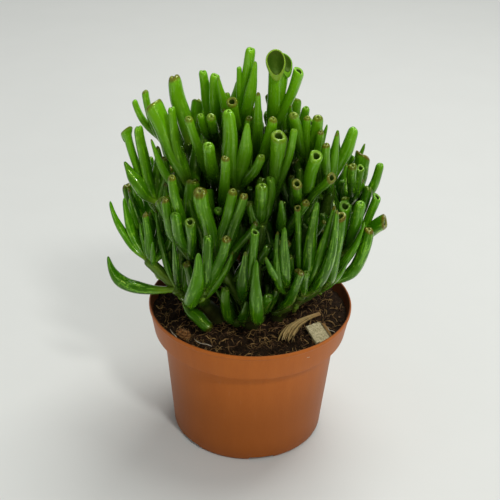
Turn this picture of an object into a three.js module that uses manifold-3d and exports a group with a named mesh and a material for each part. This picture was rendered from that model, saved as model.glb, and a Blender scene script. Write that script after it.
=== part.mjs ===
// A gollum jade (Crassula ovata, the form with finger leaves) in a plastic nursery pot.
// Nine cuttings root in one pot of peat. Each is one node: a fleshy stem that forks into shoots, and
// finger leaves on three levels round each shoot's end, all grown together. Millimetres, +Z up, origin
// at the middle of the pot's underside, and the side that faces the viewer is -Y.
import * as THREE from "three";
import { mergeVertices } from "three/addons/utils/BufferGeometryUtils.js";
import Module from "manifold-3d";

const wasm = await Module();
wasm.setup();

// Driving dimensions.

// Pot: a moulded 12 cm pot with a tall collar under its rim and a foot with drain notches.
const POT = {
  height: 85,
  rimRadius: 60,
  collarHeight: 17.5,
  collarFootRadius: 57,
  bodyTopRadius: 51.5,
  footRadius: 45.5,
  footBevel: 1.6,
  wall: 1.2,
  floorLift: 3,
  floorThickness: 1.2,
  footRingWidth: 3,
  sides: 32,
};
const NOTCH = { count: 6, width: 15, height: 2.2, firstAngle: -78 };
const DRAIN_HOLE = { count: 6, radius: 3.2, circleRadius: 30, firstAngle: -48 };
const CENTRE_PAD_RADIUS = 9;

// Peat: fills the pot to a little under its rim, with a rough top.
const SOIL = {
  topHeight: 78.5,
  relief: 1.3,
  sides: 22,
  rings: 3,
  stemHoleDepth: 22,
  holeSides: 8,
};
const SEAT_GAP = 0.3;

// What lies on the peat: a flake of wood, a crumb of bark and a dry leaf.
const WOOD_CHIP = {
  width: 12,
  length: 14,
  thickness: 1.8,
  place: [40, -28.5, 81.2],
  turn: 28,
  lean: 16,
};
const BARK_CRUMB = { size: [11, 7.5, 6], place: [-37, -31, 79], turn: -35 };
const DRY_LEAF = {
  start: [20, -37.5, 79.6],
  arch: [23, -22, 82.8],
  end: [41, -6, 79.6],
  halfWidth: 3.6,
  thickness: 0.8,
};

// Leaves and stems. A leaf's half thickness is measured at its widest, and its facets' corners stand a
// little outside. The leaves spread the more, the lower their level on the shoot. What a leaf draws for
// itself lies between two values: its length and thickness as shares, and its sag.
const LEAF = {
  sides: 5,
  rootShare: 0.45,
  rootDepth: 2.6,
  facetShare: 1.03,
  halfThickness: 4.2,
  length: 43,
  flatness: 0.88,
  levelSpacing: 4.4,
  levels: 3,
  bendPlace: 0.45,
  faceSpread: 30,
  headingSpread: 14,
  innerLean: 14,
  leanPerLevel: 12,
  leanSpread: 8,
  lengthDraw: [0.82, 1.16],
  thicknessDraw: [0.78, 1.14],
  sagDraw: [0.06, 0.22],
  alongShoot: 0.25,
};
const STEM = {
  sides: 6,
  footRadius: 5,
  forkRadius: 4,
  shootRadius: 3.8,
  tipRadius: 3.2,
  tipDome: 0.6,
  buried: 20,
  droop: 0.12,
  upturn: 0.35,
};
const PLANT_SEED = 4711;

// The ways in which the finger leaves of one plant end: width of the tip against the leaf's widest
// place, depth of the hollow in it in mm, and how far its rim slants. The last number is the share of
// leaves that have this form where no other is named.
const TIP_FORMS = {
  trumpet: { tipShare: 1.1, hollow: 3.6, slant: 0.5, share: 0.2 },
  finger: { tipShare: 0.84, hollow: 1.2, slant: 0.2, share: 0.5 },
  blade: { tipShare: 0.45, hollow: 0.4, slant: 0.6, share: 0.3 },
  spoon: { tipShare: 1.4, hollow: 4.5, slant: 1.3, share: 0 },
};

// The plant: nine cuttings, each with its foot in the peat, its fork, and its shoots. A shoot has its
// end, its leaves that are seen from the front as [tip x, y, z, half thickness, form, sag], and a number
// of others, which spread over the headings from first to last (0 is +X, 90 is away from the viewer).
// Near the top, where the seen leaves stand out alone, the others are young and short.
const NO_OTHERS = { count: 0, first: 0, last: 0 };
const CUTTINGS = [
  {
    name: "stem_front_left",
    foot: [-20, -16],
    fork: [-27, -20, 94],
    shoots: [
      {
        end: [-26, -36, 112],
        seen: [
          [-23, -49, 153, 3.1, "finger", 0.2],
          [-13, -52, 154, 3.2, "finger", 0.08],
          [-10, -42, 140, 2.8, "blade", 0.1],
        ],
        others: { count: 1, first: 20, last: 140 },
      },
      {
        end: [-38, -22, 99],
        seen: [[-28, -50, 143, 4.6, "blade", 0.45]],
        others: { count: 1, first: 40, last: 90, size: 0.8 },
      },
      {
        end: [-42, -22, 104],
        seen: [
          [-81, -16, 120, 4.4, "blade", 0.6],
          [-42, -38, 144, 2, "blade", 0.12],
          [-19, -34, 86, 4.2, "finger", 0.1],
          [-53, -20, 152, 2.2, "blade", 0.1],
        ],
        others: { count: 2, first: 30, last: 110, size: 0.9 },
      },
      {
        end: [-58, -17, 119],
        seen: [
          [-80, -6, 150, 2.6, "blade", 0.27],
          [-72, -8, 153, 3.2, "blade", 0.2],
          [-59, -20, 150, 2.9, "finger", 0.05],
          [-62, -18, 143, 1.7, "blade", 0.05],
          [-54, -30, 138, 1.6, "blade", 0.1],
          [-70, 0, 149, 2.6, "blade", 0.15],
        ],
        others: { count: 1, first: 60, last: 120, size: 0.8 },
      },
      {
        end: [-33, -29, 134],
        seen: [
          [-46, -33, 166, 3.7, "finger", 0.3],
          [-41, -40, 161, 3.6, "finger", 0.12],
          [-32, -44, 159, 2.6, "trumpet", 0.1],
          [-43, -36, 181, 3.3, "finger", 0.05],
        ],
        others: { count: 2, first: 20, last: 180 },
      },
    ],
  },
  {
    name: "stem_front",
    foot: [1, -21],
    fork: [1, -24, 92],
    shoots: [
      {
        end: [-20, -34, 134],
        seen: [
          [-10, -45, 178, 3.3, "finger", 0.03],
          [-6, -46, 177, 3.1, "finger", 0.1],
          [-26, -42, 177, 4.7, "trumpet", 0.05],
        ],
        others: { count: 2, first: 30, last: 190 },
      },
      {
        end: [-5, -30, 104],
        seen: [
          [2, -50, 156, 2.3, "trumpet", 0.15],
          [-3, -48, 142, 3.2, "blade", 0.25],
        ],
        others: { count: 2, first: 30, last: 150 },
      },
      {
        end: [-9, -26, 85],
        seen: [
          [-14, -36, 114, 2.9, "finger", 0.3],
          [-3, -37, 106, 3, "blade", 0.2],
        ],
        others: { count: 1, first: 150, last: 200, size: 0.8 },
      },
      {
        end: [7, -26, 88],
        seen: [[2, -48, 139, 3.9, "blade", 0.4]],
        others: NO_OTHERS,
      },
      {
        end: [5, -30, 151],
        seen: [
          [4, -44, 181, 3.5, "finger", 0.1],
          [-2, -36, 167, 3, "finger", 0.15],
        ],
        others: NO_OTHERS,
      },
    ],
  },
  {
    name: "stem_front_right",
    foot: [17, -11],
    fork: [24, -18, 95],
    shoots: [
      {
        end: [20, -34, 117],
        seen: [
          [8, -52, 144, 2.5, "blade", 0.15],
          [16, -50, 160, 3.3, "blade", 0.2],
          [13, -46, 154, 2.6, "blade", 0.35],
        ],
        others: { count: 2, first: 40, last: 140 },
      },
      {
        end: [28, -24, 103],
        seen: [
          [43, -38, 167, 3.6, "blade", 0.1],
          [23, -40, 167, 1.8, "trumpet", 0.05],
          [33, -38, 169, 4.2, "blade", 0.08],
          [44, -40, 166, 3.6, "blade", 0.3],
        ],
        others: { count: 2, first: 30, last: 100 },
      },
      {
        end: [13, -22, 91],
        seen: [[27, -44, 132, 3, "finger", 0.15]],
        others: { count: 1, first: 0, last: 60, size: 0.8 },
      },
      {
        end: [42, -18, 109],
        seen: [
          [64, -20, 145, 4, "finger", 0.4],
          [46, -35, 160, 3, "trumpet", 0.3],
          [53, -29, 130, 2, "blade", 0.15],
          [61, -22, 150, 3, "blade", 0.15],
        ],
        others: { count: 1, first: 90, last: 150 },
      },
      {
        end: [25, -16, 160],
        seen: [
          [32, -34, 194, 3.6, "trumpet", 0.08],
          [23, -41, 180, 2.6, "trumpet", 0.2],
          [41, -30, 180, 2.8, "trumpet", -0.02],
        ],
        others: NO_OTHERS,
      },
    ],
  },
  {
    name: "stem_right",
    foot: [28, 9],
    fork: [37, 6, 110],
    shoots: [
      {
        end: [55, -4, 124],
        seen: [
          [69, -4, 157, 2.8, "trumpet", 0.15],
          [58, -20, 161, 3.6, "finger", 0.15],
          [74, -10, 145, 4.3, "trumpet", -0.08],
        ],
        others: { count: 2, first: 60, last: 130, size: 0.9 },
      },
      {
        end: [43, 1, 160],
        seen: [
          [54, 2, 195, 4, "finger", 0],
          [37, -24, 196, 2.7, "finger", 0.2],
          [43, -16, 199, 2.6, "blade", 0.1],
        ],
        others: { count: 2, first: 30, last: 190, size: 0.7 },
      },
      {
        end: [57, 13, 146],
        seen: [
          [53, -14, 180, 3, "finger", 0.1],
          [58, -6, 175, 2.3, "trumpet", 0.15],
          [70, 4, 173, 3.1, "finger", 0.2],
          [61, 2, 164, 3.6, "blade", 0.1],
        ],
        others: { count: 2, first: 40, last: 140, size: 0.75 },
      },
      { end: [51, 28, 114], seen: [], others: { count: 4, first: -30, last: 150 } },
      { end: [39, -2, 120], seen: [], others: { count: 2, first: 210, last: 360 } },
    ],
  },
  {
    name: "stem_left",
    foot: [-28, 7],
    fork: [-36, 4, 110],
    shoots: [
      {
        end: [-54, -2, 148],
        seen: [
          [-72, 1, 171, 4.6, "blade", 0.15],
          [-64, 2, 192, 3.7, "finger", 0.1],
          [-71, 6, 188, 2.7, "spoon", 0.15],
        ],
        others: { count: 2, first: 60, last: 150, size: 0.75 },
      },
      {
        end: [-34, -9, 159],
        seen: [
          [-56, 4, 204, 5.4, "trumpet", 0],
          [-45, -6, 207, 2.8, "finger", 0.08],
          [-56, -8, 189, 2.7, "blade", 0.15],
        ],
        others: { count: 2, first: 60, last: 190, size: 0.7 },
      },
      { end: [-58, 14, 120], seen: [], others: { count: 4, first: 80, last: 250 } },
      { end: [-48, 30, 114], seen: [], others: { count: 4, first: 40, last: 260 } },
      { end: [-40, 2, 118], seen: [], others: { count: 2, first: 160, last: 330 } },
      {
        end: [-21, 0, 160],
        seen: [
          [-35, -20, 207, 3.3, "finger", 0.1],
          [-24, -36, 197, 3.8, "finger", 0.15],
        ],
        others: { count: 1, first: 180, last: 260 },
      },
    ],
  },
  {
    name: "stem_centre",
    foot: [0, 2],
    fork: [0, -2, 118],
    shoots: [
      {
        end: [0, -4, 172],
        seen: [
          [1, -20, 222, 3, "blade", 0.05],
          [9, -30, 212, 3.2, "finger", 0.1],
        ],
        others: { count: 2, first: 60, last: 160 },
      },
      {
        end: [-17, -12, 146],
        seen: [
          [-15, -40, 194, 3, "finger", 0.15],
          [-20, -38, 162, 2.2, "trumpet", 0],
        ],
        others: NO_OTHERS,
      },
      {
        end: [15, -12, 132],
        seen: [[14, -44, 172, 2.6, "blade", 0.1]],
        others: { count: 2, first: 250, last: 420 },
      },
      {
        end: [10, -13, 160],
        seen: [
          [12, -33, 204, 3.4, "trumpet", 0.12],
          [20, -29, 206, 2.4, "finger", 0.12],
        ],
        others: { count: 2, first: 20, last: 120 },
      },
      {
        end: [-9, -18, 166],
        seen: [
          [-4, -33, 210, 4.1, "blade", 0.08],
          [-14, -27, 214, 4.4, "finger", 0.1],
        ],
        others: { count: 1, first: 60, last: 160 },
      },
      {
        end: [-8, 4, 193],
        seen: [
          [-4, -4, 240, 3.4, "finger", 0],
          [-1, -10, 235, 3.1, "blade", 0.05],
          [-20, -11, 226, 2.7, "blade", 0.1],
          [-9, -2, 229, 1.6, "finger", 0],
          [-13, -18, 216, 2.8, "trumpet", 0.1],
        ],
        others: { count: 2, first: 60, last: 140, size: 0.6 },
      },
      {
        end: [8, 6, 192],
        seen: [
          [10, -8, 236, 3.6, "spoon", 0.1],
          [14, -1, 233, 3.2, "spoon", 0.05],
          [22, -2, 228, 3.3, "trumpet", 0.05],
        ],
        others: { count: 2, first: 40, last: 120, size: 0.6 },
      },
    ],
  },
  {
    name: "stem_back_left",
    foot: [-15, 24],
    fork: [-21, 22, 122],
    shoots: [
      {
        end: [-37, 10, 180],
        seen: [
          [-45, 12, 218, 5.2, "finger", 0.02],
          [-66, 12, 204, 2.5, "finger", 0.35],
          [-61, 10, 209, 2.7, "finger", 0.35],
        ],
        others: { count: 2, first: 40, last: 170, size: 0.6 },
      },
      {
        end: [-23, 16, 186],
        seen: [
          [-29, 4, 224, 3, "finger", 0.05],
          [-28, -18, 208, 2.3, "finger", 0.2],
          [-22, -4, 225, 3.3, "finger", 0.08],
          [-24, -22, 209, 3, "finger", 0.15],
        ],
        others: { count: 2, first: 50, last: 170, size: 0.55 },
      },
      { end: [-38, 36, 134], seen: [], others: { count: 5, first: 10, last: 270 } },
      { end: [-15, 26, 150], seen: [], others: { count: 4, first: 0, last: 330 } },
      { end: [-26, 50, 112], seen: [], others: { count: 5, first: 10, last: 230 } },
    ],
  },
  {
    name: "stem_back_right",
    foot: [16, 23],
    fork: [21, 22, 122],
    shoots: [
      {
        end: [19, 15, 186],
        seen: [[18, -14, 213, 2.1, "blade", 0.15]],
        others: { count: 2, first: 20, last: 150, size: 0.6 },
      },
      {
        end: [32, 10, 170],
        seen: [
          [31, -19, 209, 3.2, "finger", 0.15],
          [26, -20, 209, 2.3, "finger", 0.15],
          [34, -20, 201, 2.3, "finger", 0.2],
          [21, -26, 214, 3.3, "finger", 0.1],
        ],
        others: { count: 2, first: 0, last: 140, size: 0.65 },
      },
      { end: [41, 32, 136], seen: [], others: { count: 5, first: -60, last: 190 } },
      { end: [15, 26, 152], seen: [], others: { count: 4, first: -150, last: 190 } },
      { end: [28, 48, 112], seen: [], others: { count: 4, first: -30, last: 180 } },
    ],
  },
  {
    name: "stem_back",
    foot: [1, 37],
    fork: [1, 40, 104],
    shoots: [
      { end: [1, 58, 112], seen: [], others: { count: 5, first: -20, last: 200 } },
      { end: [-12, 46, 138], seen: [], others: { count: 5, first: -10, last: 260 } },
      { end: [12, 44, 141], seen: [], others: { count: 4, first: -40, last: 230 } },
    ],
  },
];

// Small helpers.

const vector = (x, y, z) => new THREE.Vector3(x, y, z);
const UP = vector(0, 0, 1);
const degrees = THREE.MathUtils.degToRad;
const lerp = THREE.MathUtils.lerp;
const smoothstep = THREE.MathUtils.smoothstep;

// The Park-Miller generator: every draw is a whole number under 2^31, so the sequence never changes.
function makeDraw(seed) {
  let state = seed;
  return (low, high) => {
    state = (state * 16807) % 2147483647;
    return low + ((high - low) * state) / 2147483647;
  };
}

// The vertices and triangles of a geometry, with the vertices that lie closer than the weld distance
// made one and the triangles that this empties taken out.
function weldedMesh(geometry, weld) {
  const bare = geometry.clone();
  for (const name of Object.keys(bare.attributes)) {
    if (name !== "position") bare.deleteAttribute(name);
  }
  const merged = mergeVertices(bare, weld);
  const triangles = [];
  const index = merged.index.array;
  for (let i = 0; i < index.length; i += 3) {
    const [a, b, c] = [index[i], index[i + 1], index[i + 2]];
    if (a !== b && b !== c && c !== a) triangles.push(a, b, c);
  }
  return { vertices: merged.attributes.position.array, triangles };
}

function solidFrom({ vertices, triangles }) {
  const triVerts = new Uint32Array(triangles);
  return new wasm.Manifold(new wasm.Mesh({ numProp: 3, vertProperties: vertices, triVerts }));
}

// A closed solid from any three.js geometry.
function solidOf(geometry) {
  return solidFrom(weldedMesh(geometry, 1e-4));
}

function geometryOf(solid) {
  const mesh = solid.getMesh();
  const geometry = new THREE.BufferGeometry();
  const positions = new Float32Array(mesh.vertProperties);
  geometry.setAttribute("position", new THREE.BufferAttribute(positions, 3));
  geometry.setIndex(new THREE.BufferAttribute(mesh.triVerts, 1));
  geometry.computeVertexNormals();
  return geometry;
}

// True where every edge of a mesh lies between two triangles.
function isWhole({ triangles }) {
  const uses = new Map();
  for (let i = 0; i < triangles.length; i += 3) {
    for (let k = 0; k < 3; k++) {
      const [from, to] = [triangles[i + k], triangles[i + ((k + 1) % 3)]];
      const edge = `${Math.min(from, to)} ${Math.max(from, to)}`;
      uses.set(edge, (uses.get(edge) ?? 0) + 1);
    }
  }
  return [...uses.values()].every((count) => count === 2);
}

// Joins solids, then closes up the splinters that are left where their faces cross, by the widest of
// these welds that leaves the surface whole.
const SPLINTER_WELDS = [0.2, 0.12, 0.06, 0.02];

function fuse(solids) {
  const joined = solids.reduce((sum, piece) => sum.add(piece));
  const geometry = geometryOf(joined);
  const welded = SPLINTER_WELDS.map((weld) => weldedMesh(geometry, weld)).find(isWhole);
  return welded ? solidFrom(welded) : joined;
}

function cut(solid, tools) {
  return tools.reduce((rest, tool) => rest.subtract(tool), solid);
}

function cylinderSolid(radius, bottom, top, sides, x = 0, y = 0) {
  const geometry = new THREE.CylinderGeometry(radius, radius, top - bottom, sides);
  geometry.rotateX(Math.PI / 2);
  geometry.translate(x, y, (top + bottom) / 2);
  return solidOf(geometry);
}

// A turned solid: profile points are [radius, height], from the axis at the bottom to the axis at the top.
function turned(profile, sides) {
  const points = profile.map(([radius, height]) => new THREE.Vector2(radius, height));
  return new THREE.LatheGeometry(points, sides).rotateX(Math.PI / 2);
}

// How the plant grows.

// A leaf's line is a quadratic curve with its root on the shoot, a bend point and a tip. These are the
// places along it where neighbours are kept clear. The faceted leaf is pointed at its root, which is
// sunk through the shoot's middle, and has a ring of corners at each of the other places.
const LEAF_STATIONS = [0, 0.3, 0.7, 1];

function leafCurve(leaf) {
  return new THREE.QuadraticBezierCurve3(leaf.root, leaf.bend, leaf.tip);
}

// Half thickness of a leaf at a place from 0 at its root to 1 at its tip.
function leafRadius(leaf, place) {
  const swell = lerp(LEAF.rootShare, 1, smoothstep(place, 0, 0.45));
  return leaf.radius * swell * lerp(1, leaf.form.tipShare, smoothstep(place, 0.6, 1));
}

function drawnForm(draw) {
  let rest = draw(0, 1);
  for (const form of Object.values(TIP_FORMS)) {
    if (rest < form.share) return form;
    rest -= form.share;
  }
  return TIP_FORMS.finger;
}

// A leaf between its root and tip. It sags: it leaves the shoot low and outwards, then turns up.
function makeLeaf(shoot, level, tip, radius, form, sag, draw) {
  const root = shoot.end.clone().addScaledVector(shoot.axis, -level * LEAF.levelSpacing);
  const chord = tip.clone().sub(root);
  const out = vector(chord.x, chord.y, 0);
  if (out.length() < 2) out.set(root.x, root.y, 0);
  const side = out.normalize().sub(UP).multiplyScalar(Math.SQRT1_2);
  const bend = root.clone().addScaledVector(chord, LEAF.bendPlace);
  bend.addScaledVector(side, sag * chord.length());
  const face = degrees(draw(-LEAF.faceSpread, LEAF.faceSpread));
  return { root, bend, tip, radius, form, face, cutting: shoot.cutting, shoot: shoot.index };
}

function growLeaves(shoot, draw) {
  const leaves = shoot.seen.map(([x, y, z, radius, form, sag], k) =>
    makeLeaf(shoot, k % LEAF.levels, vector(x, y, z), radius, TIP_FORMS[form], sag, draw),
  );
  for (const leaf of leaves) leaf.seen = true;
  const { count, first, last, size = 1 } = shoot.others;
  for (let k = 0; k < count; k++) {
    const level = (k + 1) % LEAF.levels;
    const turn = draw(-LEAF.headingSpread, LEAF.headingSpread);
    const heading = degrees(lerp(first, last, (k + 0.5) / count) + turn);
    const tilt = draw(-LEAF.leanSpread, LEAF.leanSpread);
    const lean = degrees(LEAF.innerLean + LEAF.leanPerLevel * level + tilt);
    const length = size * LEAF.length * draw(...LEAF.lengthDraw);
    const radius = Math.sqrt(size) * LEAF.halfThickness * draw(...LEAF.thicknessDraw);
    const sag = draw(...LEAF.sagDraw);
    const out = vector(Math.cos(heading), Math.sin(heading), 0).multiplyScalar(Math.sin(lean));
    const along = out.addScaledVector(UP, Math.cos(lean)).lerp(shoot.axis, LEAF.alongShoot).normalize();
    const tip = shoot.end.clone().addScaledVector(shoot.axis, -level * LEAF.levelSpacing);
    tip.addScaledVector(along, length);
    leaves.push(makeLeaf(shoot, level, tip, radius, drawnForm(draw), sag, draw));
  }
  return leaves;
}

// Stems are lines with a radius at both ends, so that the leaves can be kept clear of them.
function growCutting(cutting, index, firstShoot) {
  const [x, y] = cutting.foot;
  const bottom = vector(x, y, SOIL.topHeight - STEM.buried);
  const collar = vector(x, y, SOIL.topHeight + 4);
  const fork = vector(...cutting.fork);
  const trunk = {
    cutting: index,
    shoot: -1,
    curve: new THREE.CatmullRomCurve3([bottom, collar, fork]),
    radii: [STEM.footRadius, STEM.forkRadius],
  };
  const shoots = cutting.shoots.map((shoot, k) => {
    const end = vector(...shoot.end);
    const middle = fork.clone().lerp(end, 0.5);
    middle.z -= STEM.droop * end.distanceTo(fork);
    const curve = new THREE.QuadraticBezierCurve3(fork, middle, end);
    const axis = curve.getTangent(1).lerp(UP, STEM.upturn).normalize();
    const radii = [STEM.shootRadius, STEM.tipRadius];
    return { ...shoot, end, curve, axis, radii, cutting: index, index: firstShoot + k };
  });
  return { trunk, shoots };
}

function growPlant() {
  const draw = makeDraw(PLANT_SEED);
  const tubes = [];
  const leaves = [];
  let shootCount = 0;
  CUTTINGS.forEach((cutting, index) => {
    const { trunk, shoots } = growCutting(cutting, index, shootCount);
    shootCount += shoots.length;
    tubes.push(trunk, ...shoots.map((shoot) => ({ ...shoot, shoot: shoot.index })));
    for (const shoot of shoots) leaves.push(...growLeaves(shoot, draw));
  });
  return { tubes, leaves };
}

// How the leaves make room for each other.

// Every leaf is a chain of three straight lengths, which bends away from what it would touch: the other
// leaves, the stems, the peat and the pot's rim. It keeps its length, and leans back to where it grew,
// less and less from one round to the next. Leaves of one cutting may press into each other a little,
// and on one shoot only their outer lengths are kept apart. Leaves that are seen from the front yield
// little, and least to the others.
const SETTLE = {
  rounds: 110,
  push: 0.45,
  spring: 0.025,
  freePlace: 0.3,
  outerPlace: 0.5,
  clearGap: 0.6,
  pressedGap: -0.4,
  seenYields: 0.15,
  seenMeetsOther: 0.3,
  nearDistance: 35,
  rimBand: 14,
  overRim: 1.5,
  overPeat: 1,
};

function curvePoint(leaf, place) {
  const a = (1 - place) * (1 - place);
  const b = 2 * (1 - place) * place;
  const c = place * place;
  return leaf.root.clone().multiplyScalar(a).addScaledVector(leaf.bend, b).addScaledVector(leaf.tip, c);
}

// Where two straight lengths come nearest: the shares along each, from 0 to 1.
function nearestShares(p1, q1, p2, q2) {
  const d1 = q1.clone().sub(p1);
  const d2 = q2.clone().sub(p2);
  const r = p1.clone().sub(p2);
  const a = d1.dot(d1);
  const e = d2.dot(d2);
  const b = d1.dot(d2);
  const c = d1.dot(r);
  const f = d2.dot(r);
  const clamp = THREE.MathUtils.clamp;
  const flat = a * e - b * b;
  let s = flat > 1e-9 ? clamp((b * f - c * e) / flat, 0, 1) : 0;
  const t = clamp((b * s + f) / e, 0, 1);
  s = clamp((b * t - c) / a, 0, 1);
  return [s, t];
}

function lengthsOf(line, { cutting, shoot, seen = false }, leaf) {
  const lengths = [];
  for (let k = 0; k + 1 < line.length; k++) {
    lengths.push({ from: line[k], to: line[k + 1], cutting, shoot, seen, leaf, first: k === 0 });
  }
  return lengths;
}

function tubeLine(tube, steps) {
  const line = [];
  for (let k = 0; k <= steps; k++) {
    const at = k / steps;
    line.push({ point: tube.curve.getPoint(at), radius: lerp(tube.radii[0], tube.radii[1], at), place: 0 });
  }
  return line;
}

function leafLine(leaf) {
  return LEAF_STATIONS.map((place) => ({
    point: curvePoint(leaf, place),
    radius: leafRadius(leaf, place) * LEAF.facetShare,
    place,
  }));
}

// True where two lengths are left as they grew: by the roots, where leaves and stems join.
function growTogether(one, other) {
  const outer = (length) => length.leaf >= 0 && length.from.place >= SETTLE.outerPlace;
  if (one.shoot === other.shoot && !(outer(one) && outer(other))) return true;
  return one.first && one.cutting === other.cutting;
}

// Shares a push at one place of a leaf between its bend point and its tip.
function moveLeaf(push, at, by, share) {
  const place = Math.max(at, SETTLE.freePlace);
  const b = 2 * (1 - place) * place;
  const c = place * place;
  const scale = share / (b * b + c * c);
  push.bend.addScaledVector(by, b * scale);
  push.tip.addScaledVector(by, c * scale);
  push.count += 1;
}

function settle(leaves, tubes) {
  const still = tubes.flatMap((tube) => lengthsOf(tubeLine(tube, 4), tube, -1));
  for (const leaf of leaves) {
    leaf.grownBend = leaf.bend.clone();
    leaf.grownTip = leaf.tip.clone();
    leaf.halves = [leaf.bend.distanceTo(leaf.root), leaf.tip.distanceTo(leaf.bend)];
  }
  for (let round = 0; round < SETTLE.rounds; round++) {
    const pushes = leaves.map(() => ({ bend: vector(0, 0, 0), tip: vector(0, 0, 0), count: 0 }));
    const moving = leaves.flatMap((leaf, k) => lengthsOf(leafLine(leaf), leaf, k));
    for (let i = 0; i < moving.length; i++) {
      const one = moving[i];
      for (let j = i + 1; j < moving.length + still.length; j++) {
        const other = j < moving.length ? moving[j] : still[j - moving.length];
        if (one.leaf === other.leaf || growTogether(one, other)) continue;
        if (one.from.point.distanceToSquared(other.from.point) > SETTLE.nearDistance ** 2) continue;
        pushApart(one, other, pushes);
      }
      pushOffGround(one.to, pushes[one.leaf]);
    }
    const spring = SETTLE.spring * (1 - round / SETTLE.rounds);
    leaves.forEach((leaf, k) => relax(leaf, pushes[k], spring));
  }
}

// Pushes two lengths apart where they come closer than they may.
function pushApart(one, other, pushes) {
  const [s, t] = nearestShares(one.from.point, one.to.point, other.from.point, other.to.point);
  const apart = one.from.point.clone().lerp(one.to.point, s);
  apart.sub(other.from.point.clone().lerp(other.to.point, t));
  const distance = apart.length();
  const reach = lerp(one.from.radius, one.to.radius, s) + lerp(other.from.radius, other.to.radius, t);
  const gap = one.cutting === other.cutting ? SETTLE.pressedGap : SETTLE.clearGap;
  const deficit = reach + gap - distance;
  if (deficit <= 0 || distance < 1e-6) return;
  apart.multiplyScalar((deficit * SETTLE.push) / distance);
  const isLeaf = other.leaf >= 0;
  const shareOne = one.seen && isLeaf && !other.seen ? SETTLE.seenMeetsOther : 1;
  moveLeaf(pushes[one.leaf], lerp(one.from.place, one.to.place, s), apart, shareOne);
  if (!isLeaf) return;
  const shareOther = other.seen && !one.seen ? SETTLE.seenMeetsOther : 1;
  moveLeaf(pushes[other.leaf], lerp(other.from.place, other.to.place, t), apart.negate(), shareOther);
}

// Keeps a place on a leaf above the peat and, further out, above the pot's rim.
function pushOffGround(end, push) {
  const overRim = Math.hypot(end.point.x, end.point.y) > POT.rimRadius - SETTLE.rimBand;
  const ground = overRim ? POT.height + SETTLE.overRim : SOIL.topHeight + SOIL.relief + SETTLE.overPeat;
  const deficit = ground + end.radius - end.point.z;
  if (deficit > 0) moveLeaf(push, end.place, vector(0, 0, deficit / 2), 1);
}

function relax(leaf, push, spring) {
  const ease = (leaf.seen ? SETTLE.seenYields : 1) * (push.count > 2 ? 2 / push.count : 1);
  leaf.bend.addScaledVector(push.bend, ease).lerp(leaf.grownBend, spring);
  leaf.tip.addScaledVector(push.tip, ease).lerp(leaf.grownTip, spring);
  leaf.bend.sub(leaf.root).setLength(leaf.halves[0]).add(leaf.root);
  leaf.tip.sub(leaf.bend).setLength(leaf.halves[1]).add(leaf.bend);
}

// Solids of the plant.

// Wraps a turned geometry, whose axis is +Z and whose height is 1 at the curve's end, round a curve.
function wrap(geometry, curve, flatness) {
  const middle = curve.getTangent(0.5);
  const across = middle.clone().cross(UP);
  if (across.length() < 0.05) across.set(1, 0, 0);
  across.normalize();
  const position = geometry.attributes.position;
  for (let k = 0; k < position.count; k++) {
    const height = position.getZ(k);
    const at = THREE.MathUtils.clamp(height, 0, 1);
    const tangent = curve.getTangent(at);
    const sideways = across.clone().addScaledVector(tangent, -across.dot(tangent)).normalize();
    const over = tangent.clone().cross(sideways);
    const point = curve.getPoint(at);
    point.addScaledVector(sideways, position.getX(k));
    point.addScaledVector(over, position.getY(k) * flatness);
    point.addScaledVector(tangent, (height - at) * curve.getLength());
    position.setXYZ(k, point.x, point.y, point.z);
  }
  return geometry;
}

function leafSolid(leaf) {
  const length = leaf.halves[0] + leaf.halves[1];
  const profile = [[0, -LEAF.rootDepth / length]];
  for (const place of LEAF_STATIONS.slice(1)) {
    profile.push([leafRadius(leaf, place) * LEAF.facetShare, place]);
  }
  profile.push([0, 1 - leaf.form.hollow / length]);
  const geometry = turned(profile, LEAF.sides);
  const position = geometry.attributes.position;
  // The slanting cut leans the tip's rim towards one face of the leaf.
  for (let k = 0; k < position.count; k++) {
    const [x, y, z] = [position.getX(k), position.getY(k), position.getZ(k)];
    const towards = x * Math.sin(leaf.face) + y * Math.cos(leaf.face);
    const lean = leaf.form.slant * smoothstep(z, 0.71, 1);
    position.setZ(k, z - (lean * towards) / length);
  }
  return solidOf(wrap(geometry, leafCurve(leaf), LEAF.flatness));
}

function tubeSolid(tube, steps) {
  const profile = [[0, 0]];
  for (let k = 0; k <= steps; k++) {
    profile.push([lerp(tube.radii[0], tube.radii[1], k / steps), k / steps]);
  }
  const dome = (STEM.tipDome * tube.radii[1]) / tube.curve.getLength();
  profile.push([0, 1 + dome]);
  return solidOf(wrap(turned(profile, STEM.sides), tube.curve, 1));
}

// Pot.

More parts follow.
